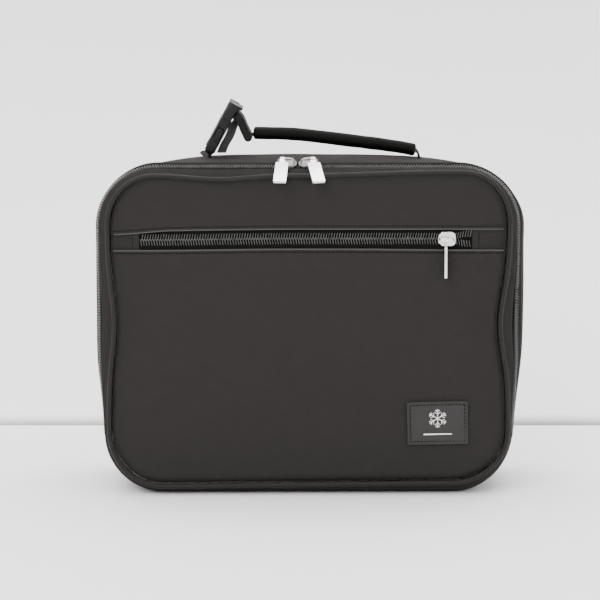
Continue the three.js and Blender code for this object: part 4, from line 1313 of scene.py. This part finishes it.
def build_emblem(place):
    """A six-armed snowflake over a short plain bar."""
    part = Part()
    level = 1.05
    centre = np.array([0.0, 3.2])

    def stroke(a, b, width=0.5):
        a, b = np.asarray(a, float), np.asarray(b, float)
        path = np.array([(*(a + (b - a) * t), level) for t in (0, 0.5, 1)])
        direction = (b - a) / np.linalg.norm(b - a)
        side = (-direction[1], direction[0], 0)
        sweep(part, path, rounded_rectangle(width, 0.22, 0.1, 3), side, place)

    for arm in range(6):
        angle = math.pi / 2 + arm * math.pi / 3
        along = np.array([math.cos(angle), math.sin(angle)])
        stroke(centre, centre + 6.4 * along)
        for reach, barb in ((3.0, 2.4), (4.8, 1.7)):
            for turn in (-1, 1):
                tip = angle + turn * math.pi / 3.4
                start = centre + reach * along
                stroke(start, start + barb * np.array([math.cos(tip), math.sin(tip)]))
    stroke((-9.5, -7.6), (9.5, -7.6), 0.9)
    dress(part.piece("patch_print"), PRINT, "lid")


# ---- Stitching ----------------------------------------------------------------------------------


def stitch_template(length, radius):
    """One stitch: its ends dip into the cloth and its middle stands proud."""
    profile = [(-0.5, 0.25, -0.5), (-0.42, 0.8, -0.15), (-0.2, 1, 0.12)]
    profile += [(-at, wide, lift) for at, wide, lift in reversed(profile)]
    angles = turns(6)
    rings = [np.column_stack([0 * angles + at * length, radius * wide * np.cos(angles),
                              radius * (wide * np.sin(angles) + lift)])
             for at, wide, lift in profile]
    return ring_template(rings)


def stitches(name, path, outwards, body, length=2.2, gap=1.0, radius=0.26):
    """A row of thread stitches along a path. outwards is one direction, or one for each path point."""
    path = np.asarray(path, float)
    outwards = np.broadcast_to(np.asarray(outwards, float), path.shape)
    along = np.concatenate([[0], np.cumsum(np.linalg.norm(np.diff(path, axis=0), axis=1))])
    middles = np.arange((length + gap) / 2, along[-1], length + gap)

    def at(values, where):
        return np.column_stack([np.interp(where, along, values[:, k]) for k in range(3)])

    origin = at(path, middles)
    tangent = at(path, middles + 0.3) - at(path, middles - 0.3)
    tangent = tangent / np.linalg.norm(tangent, axis=1, keepdims=True)
    up = at(outwards, middles)
    side = np.cross(up, tangent)
    side = side / np.linalg.norm(side, axis=1, keepdims=True)
    template, faces = stitch_template(length, radius)
    part = Part()
    part.copies(template, faces, origin, (tangent, side, np.cross(tangent, side)))
    return dress(part.piece(name), THREAD, body, sharp=80)


def build_seam_stitches():
    """Rows of stitches along the hems beside the main zip and the pocket's zip."""
    for body, y, name in (("lid", node_box("lid_gusset_strip")[1][1] - HEM_STITCH, "strip_stitches"),
                          ("body", node_box("body_gusset")[0][1] + HEM_STITCH, "gusset_stitches")):
        steps = spaced_steps(0.2, UPPER_STEPS - 0.2, 3.0, y)
        origin, _, _, out = surface_frames(steps, y, 0.1)
        stitches(name, origin, out, body)
    for name, level, side in (("top_fold_stitches", POCKET_SLOT_TOP, 1),
                              ("pocket_fold_stitches", POCKET_SLOT_BOTTOM, -1)):
        stitches(name, fold_path(level, side, HEM_STITCH, 0.05), (0, -1, 0), "lid", 1.9, 1.0, 0.34)
    for name, edge, side in (("tab_stitches_left", POCKET_LEFT, -1),
                             ("tab_stitches_right", POCKET_RIGHT, 1)):
        z = np.linspace(POCKET_SLOT_BOTTOM + 0.5, POCKET_SLOT_TOP - 0.5, 12)
        path = np.column_stack([np.full(12, edge + side * 4.4), np.full(12, -PANEL_FACE + 0.95), z])
        stitches(name, path, (0, -1, 0), "lid", 1.9, 1.0, 0.24)


# ---- Handle -------------------------------------------------------------------------------------


def crest_height(x):
    """The height of the bag's top under the handle."""
    return float(SEAM_TOP + TOP_SWELL * swell(HANDLE_Y) - crown_fall(x))


BUCKLE_PLACE = Matrix.Translation((BUCKLE_X, HANDLE_Y, crest_height(BUCKLE_X))) @ Matrix.Rotation(
    math.radians(BUCKLE_LEAN), 4, "Y"
)
SOCKET_BAR = 6.6


def build_buckle():
    """The side-release buckle: its moulded halves with softened edges, ribs and thumb pads."""
    dress(refined("buckle_socket", 0.55), PLASTIC, "handle_base", ["buckle_socket"], 35)
    dress(refined("buckle_plug", 0.5), PLASTIC, "handle_grip", ["buckle_plug"], 35)
    for name, side in (("front", -1), ("back", 1)):
        part = Part()
        pad = Matrix.Translation((0, side * 12.3, 18.4)) @ Matrix.Rotation(math.pi / 2, 4, "X")
        for length, width, low, high in ((3.8, 9.6, -0.6, 0.45), (2.6, 8.0, 0.2, 0.75)):
            depth = sorted([-side * low, -side * high])
            plate(part, length, width, length / 2 - 0.05, *depth, BUCKLE_PLACE @ pad, 0.22)
        pads = part.piece(f"prong_pad_{name}")
        arm = refined(f"buckle_prong_{name}", 0.4)
        dress(pads, PLASTIC, f"prong_{name}", sharp=35)
        dress(arm, PLASTIC, f"prong_{name}", [f"buckle_prong_{name}"], 35)
    ribs = Part()
    for k in range(3):
        for side in (-1, 1):
            path = [(side * 3.72, y, 25.6 + 1.7 * k) for y in np.linspace(-8.5, 8.5, 9)]
            sweep(ribs, path, circle(0.34), (0, 0, 1), BUCKLE_PLACE)
    dress(ribs.piece("socket_ribs"), PLASTIC, "handle_base", sharp=80)


def ribbon(part, path, width=WEBBING_WIDTH, thickness=WEBBING, place=None, narrow=None, twist=None):
    """A flat webbing along a path of points. narrow gives its share of the width at each point, and twist
    the angle that it has turned about the path."""
    base = rounded_rectangle(width, thickness, thickness * 0.42, 4)

    def section(i):
        t = i / (len(path) - 1)
        share = 1.0 if narrow is None else narrow(t)
        turn = math.radians(0 if twist is None else twist(t))
        flat = base * np.array([share, 1])
        spin = np.array([[math.cos(turn), math.sin(turn)], [-math.sin(turn), math.cos(turn)]])
        return flat @ spin

    sweep(part, path, section, place=place)


def local_path(pairs, count):
    """A smooth path in the buckle's frame through (across, along) pairs."""
    flat = curve_through(pairs, count)
    return np.column_stack([flat[:, 0], np.zeros(count), flat[:, 1]])


def build_anchor():
    """A doubled webbing out of the gusset's seam and round the socket's bar, turned a little at its foot."""
    reach = 2.3
    close = 0.78
    turn = [(reach * math.cos(a), SOCKET_BAR + reach * math.sin(a)) for a in np.linspace(0, math.pi, 7)]
    rising = [(close, -0.8), (close, 2.8), (reach, SOCKET_BAR - 1.4)]
    path = local_path([*rising, *turn, *[(-x, z) for x, z in reversed(rising)]], 60)
    anchor = Part()
    ribbon(anchor, path, WEBBING_WIDTH - 0.6, 1.4, BUCKLE_PLACE,
           twist=lambda t: 22 * math.copysign(float(smooth(1 - min(t, 1 - t) / 0.3)), 0.5 - t))
    piece = dress(anchor.piece("anchor_strap"), WEBBING_CLOTH, "handle_base",
                  ["anchor_webbing_left"], 60, ride=False)
    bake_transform(piece)


STRAP_TOP, STRAP_END = np.array((-46.9, 250.8)), np.array((-40.9, 238.0))


def strap_fold(spread, start, finish):
    """A strap that comes down on one side of the stack, turns under and goes back up on the other."""
    along = (STRAP_END - STRAP_TOP) / np.linalg.norm(STRAP_END - STRAP_TOP)
    right = np.array((-along[1], along[0]))
    middle = (STRAP_TOP + STRAP_END) / 2
    bend = [STRAP_END - spread * (math.cos(a) * right - math.sin(a) * along)
            for a in np.linspace(0, math.pi, 7)]
    down = [start, STRAP_TOP - spread * right, middle - spread * right]
    path = [*down, *bend, middle + spread * right, STRAP_TOP + spread * right, finish]
    return in_handle_plane(curve_through(path, 90))


def build_strap():
    """The strap: out of the plug's lower slot, down to the grip, back up on itself and over the plug."""
    low_slot, high_slot = (-53.6, 252.8), (-51.2, 257.6)
    strap = Part()
    ribbon(strap, strap_fold(2.15, low_slot, high_slot), WEBBING_WIDTH - 0.2, 1.36)
    ribbon(strap, strap_fold(0.72, (-50.4, 252.6), (-49.0, 253.8)), WEBBING_WIDTH - 0.9, 1.36)
    dress(strap.piece("handle_webbing"), WEBBING_CLOTH, "handle_grip", ["handle_strap"], 60)


def build_tail():
    """The strap's loose tail, which hangs beside the buckle with its back edge turned away from it."""
    path = local_path([(4.6, 38.6), (5.1, 34.0), (6.5, 27.5), (7.5, 20.0), (7.3, 13.5), (7.9, 7.6)], 50)
    tail = Part()
    ribbon(tail, path, 18, 1.3, BUCKLE_PLACE, twist=lambda t: 17 * float(smooth(t * 3.2 - 0.3)))
    # The tail's paler webbing paints in the light that it catches.
    dress(tail.piece("loose_tail"), TAIL_WEBBING_PAINTED_LIGHT, "handle_grip", ["strap_tail"], 60)


def build_right_loop():
    """The webbing at the right end, out of the gusset and into the grip."""
    loop = Part()
    foot_z = crest_height(LOOP_X)
    path = in_handle_plane(curve_through([(LOOP_X + 0.8, foot_z - 0.6), (LOOP_X + 0.7, foot_z + 2.2),
                                          (LOOP_X - 0.6, foot_z + 4.4), (LOOP_X - 4, foot_z + 5.6)], 24))
    ribbon(loop, path, WEBBING_WIDTH - 2, 1.3,
           narrow=lambda t: 0.8 + 0.2 * float(smooth(t * 3)) - 0.55 * float(smooth(t * 2.2 - 1.1)))
    piece = dress(loop.piece("right_loop"), WEBBING_CLOTH, "handle_base",
                  ["loop_webbing_right"], 60, ride=False)
    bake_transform(piece)


def build_grip():
    """The padded sleeve, with soft creases and rolled ends, on its webbing core."""
    count = 150
    path = in_handle_plane(curve_through([SLEEVE_ENDS[0], *GRIP_KNOTS, SLEEVE_ENDS[1]], count))
    angles = turns(28)
    rings = []
    for i, point in enumerate(path):
        t = i / (count - 1)
        ends = min(t, 1 - t) * 110
        roll = math.sqrt(max(0.0, 1 - max(0.0, 1 - ends / 1.6) ** 2)) * 0.45 + 0.55
        points = point + np.column_stack([0 * angles, np.sin(angles), np.cos(angles)])
        crease = 1 + 0.03 * wobble(points * np.array([1, 3, 3]), 7.0)
        seam = 1 - 0.06 * np.exp(-((((angles - 3.9) + math.pi) % (2 * math.pi) - math.pi) / 0.12) ** 2)
        radius = GRIP_RADIUS * roll * crease * seam * (1 + 0.05 * math.sin(math.pi * t))
        rings.append(np.column_stack([radius * np.sin(angles), radius * np.cos(angles)]))
    part = Part()
    sweep(part, path, lambda i: rings[i])
    grip = dress(part.piece("grip_padding"), GRIP, "handle_grip", ["grip_sleeve"], 70)
    core = Part()
    ribbon(core, in_handle_plane(curve_through([CORE_ENDS[0], *GRIP_KNOTS, CORE_ENDS[1]], 60)), 5.2, 2.4)
    dress(core.piece("grip_core_webbing"), WEBBING_CLOTH, "handle_grip", ["grip_core"], 60)


# ---- The room -----------------------------------------------------------------------------------


def area_light(name, place, aim, size, power, colour=(1, 1, 1)):
    data = bpy.data.lights.new(name, "AREA")
    data.shape = "RECTANGLE"
    data.size, data.size_y = size
    data.energy = power
    data.color = colour
    lamp = bpy.data.objects.new(name, data)
    lamp.location = place
    lamp.rotation_euler = (Vector(aim) - Vector(place)).to_track_quat("-Z", "Y").to_euler()
    bpy.context.scene.collection.objects.link(lamp)


def build_room():
    """A pale floor that curves up into a pale wall, with large soft lights."""
    part = Part()
    depth, height, bend = 500, 1800, 320
    profile = [(-2500, 0), (depth - bend, 0)]
    profile += [(depth - bend + bend * math.sin(a), bend - bend * math.cos(a))
                for a in np.linspace(0, math.pi / 2, 14)]
    profile += [(depth, height)]
    grid = [[(x, y, z) for x in (-3000, 3000)] for y, z in profile]
    part.loft(grid, closed_across=False)
    sweep_cloth = part.piece("studio_sweep")
    finish = Finish("studio_paint", (0.93, 0.915, 0.92), {"Roughness": 0.75}, "Object")
    finish.tint(finish.noise(0.35, 2.0), 0.97, 1.03)
    sweep_cloth.data.materials.append(finish.material)
    sweep_cloth.data.shade_smooth()

    world = bpy.data.worlds.new("studio")
    world.use_nodes = True
    tree = world.node_tree
    direction = tree.nodes.new("ShaderNodeTexCoord")
    height = tree.nodes.new("ShaderNodeSeparateXYZ")
    sky = tree.nodes.new("ShaderNodeMapRange")
    sky.inputs["From Min"].default_value = -0.1
    sky.inputs["To Min"].default_value = 0.5
    sky.inputs["To Max"].default_value = 1.9
    tree.links.new(direction.outputs["Generated"], height.inputs["Vector"])
    tree.links.new(height.outputs["Z"], sky.inputs["Value"])
    tree.links.new(sky.outputs["Result"], tree.nodes["Background"].inputs["Strength"])
    tree.nodes["Background"].inputs["Color"].default_value = (1.0, 0.99, 0.985, 1)
    bpy.context.scene.world = world
    middle = (0, 0, 0.12)
    area_light("key", (-0.7, -1.5, 1.3), middle, (1.2, 1.0), 34, (1, 0.985, 0.97))
    area_light("fill", (1.2, -1.3, 0.7), middle, (1.0, 1.0), 10)
    area_light("crown", (0.0, 0.25, 1.4), middle, (1.6, 0.8), 24)


CAMERA_ELEVATION = 9.66
CAMERA_DISTANCE = 2.0
CAMERA_AIM = (-0.0058, 0, 0.1262)
CAMERA_LENS = 175.7


def build_camera():
    """A level-sided camera that looks down a little on the bag's front."""
    data = bpy.data.cameras.new("camera")
    data.lens = CAMERA_LENS
    data.sensor_width = 36
    camera = bpy.data.objects.new("camera", data)
    lean = math.radians(CAMERA_ELEVATION)
    back = Vector((0, -math.cos(lean), math.sin(lean)))
    camera.location = Vector(CAMERA_AIM) + back * CAMERA_DISTANCE
    camera.rotation_euler = (-back).to_track_quat("-Z", "Y").to_euler()
    bpy.context.scene.collection.objects.link(camera)
    bpy.context.scene.camera = camera


build_camera()
build_room()
build_gussets()
build_piping("front_piping_cord", "front_piping", -SEAM_Y, "lid")
build_piping("back_piping_cord", "back_piping", SEAM_Y, "body")
build_bindings()
build_padding()
build_front()
build_fold_edges()
build_pocket_tabs()
build_pocket_back()
build_lid_layers()
build_back()
build_main_zip()
build_pocket_zip()
build_sliders()
build_patch()
build_seam_stitches()
build_buckle()
build_anchor()
build_strap()
build_tail()
build_right_loop()
build_grip()
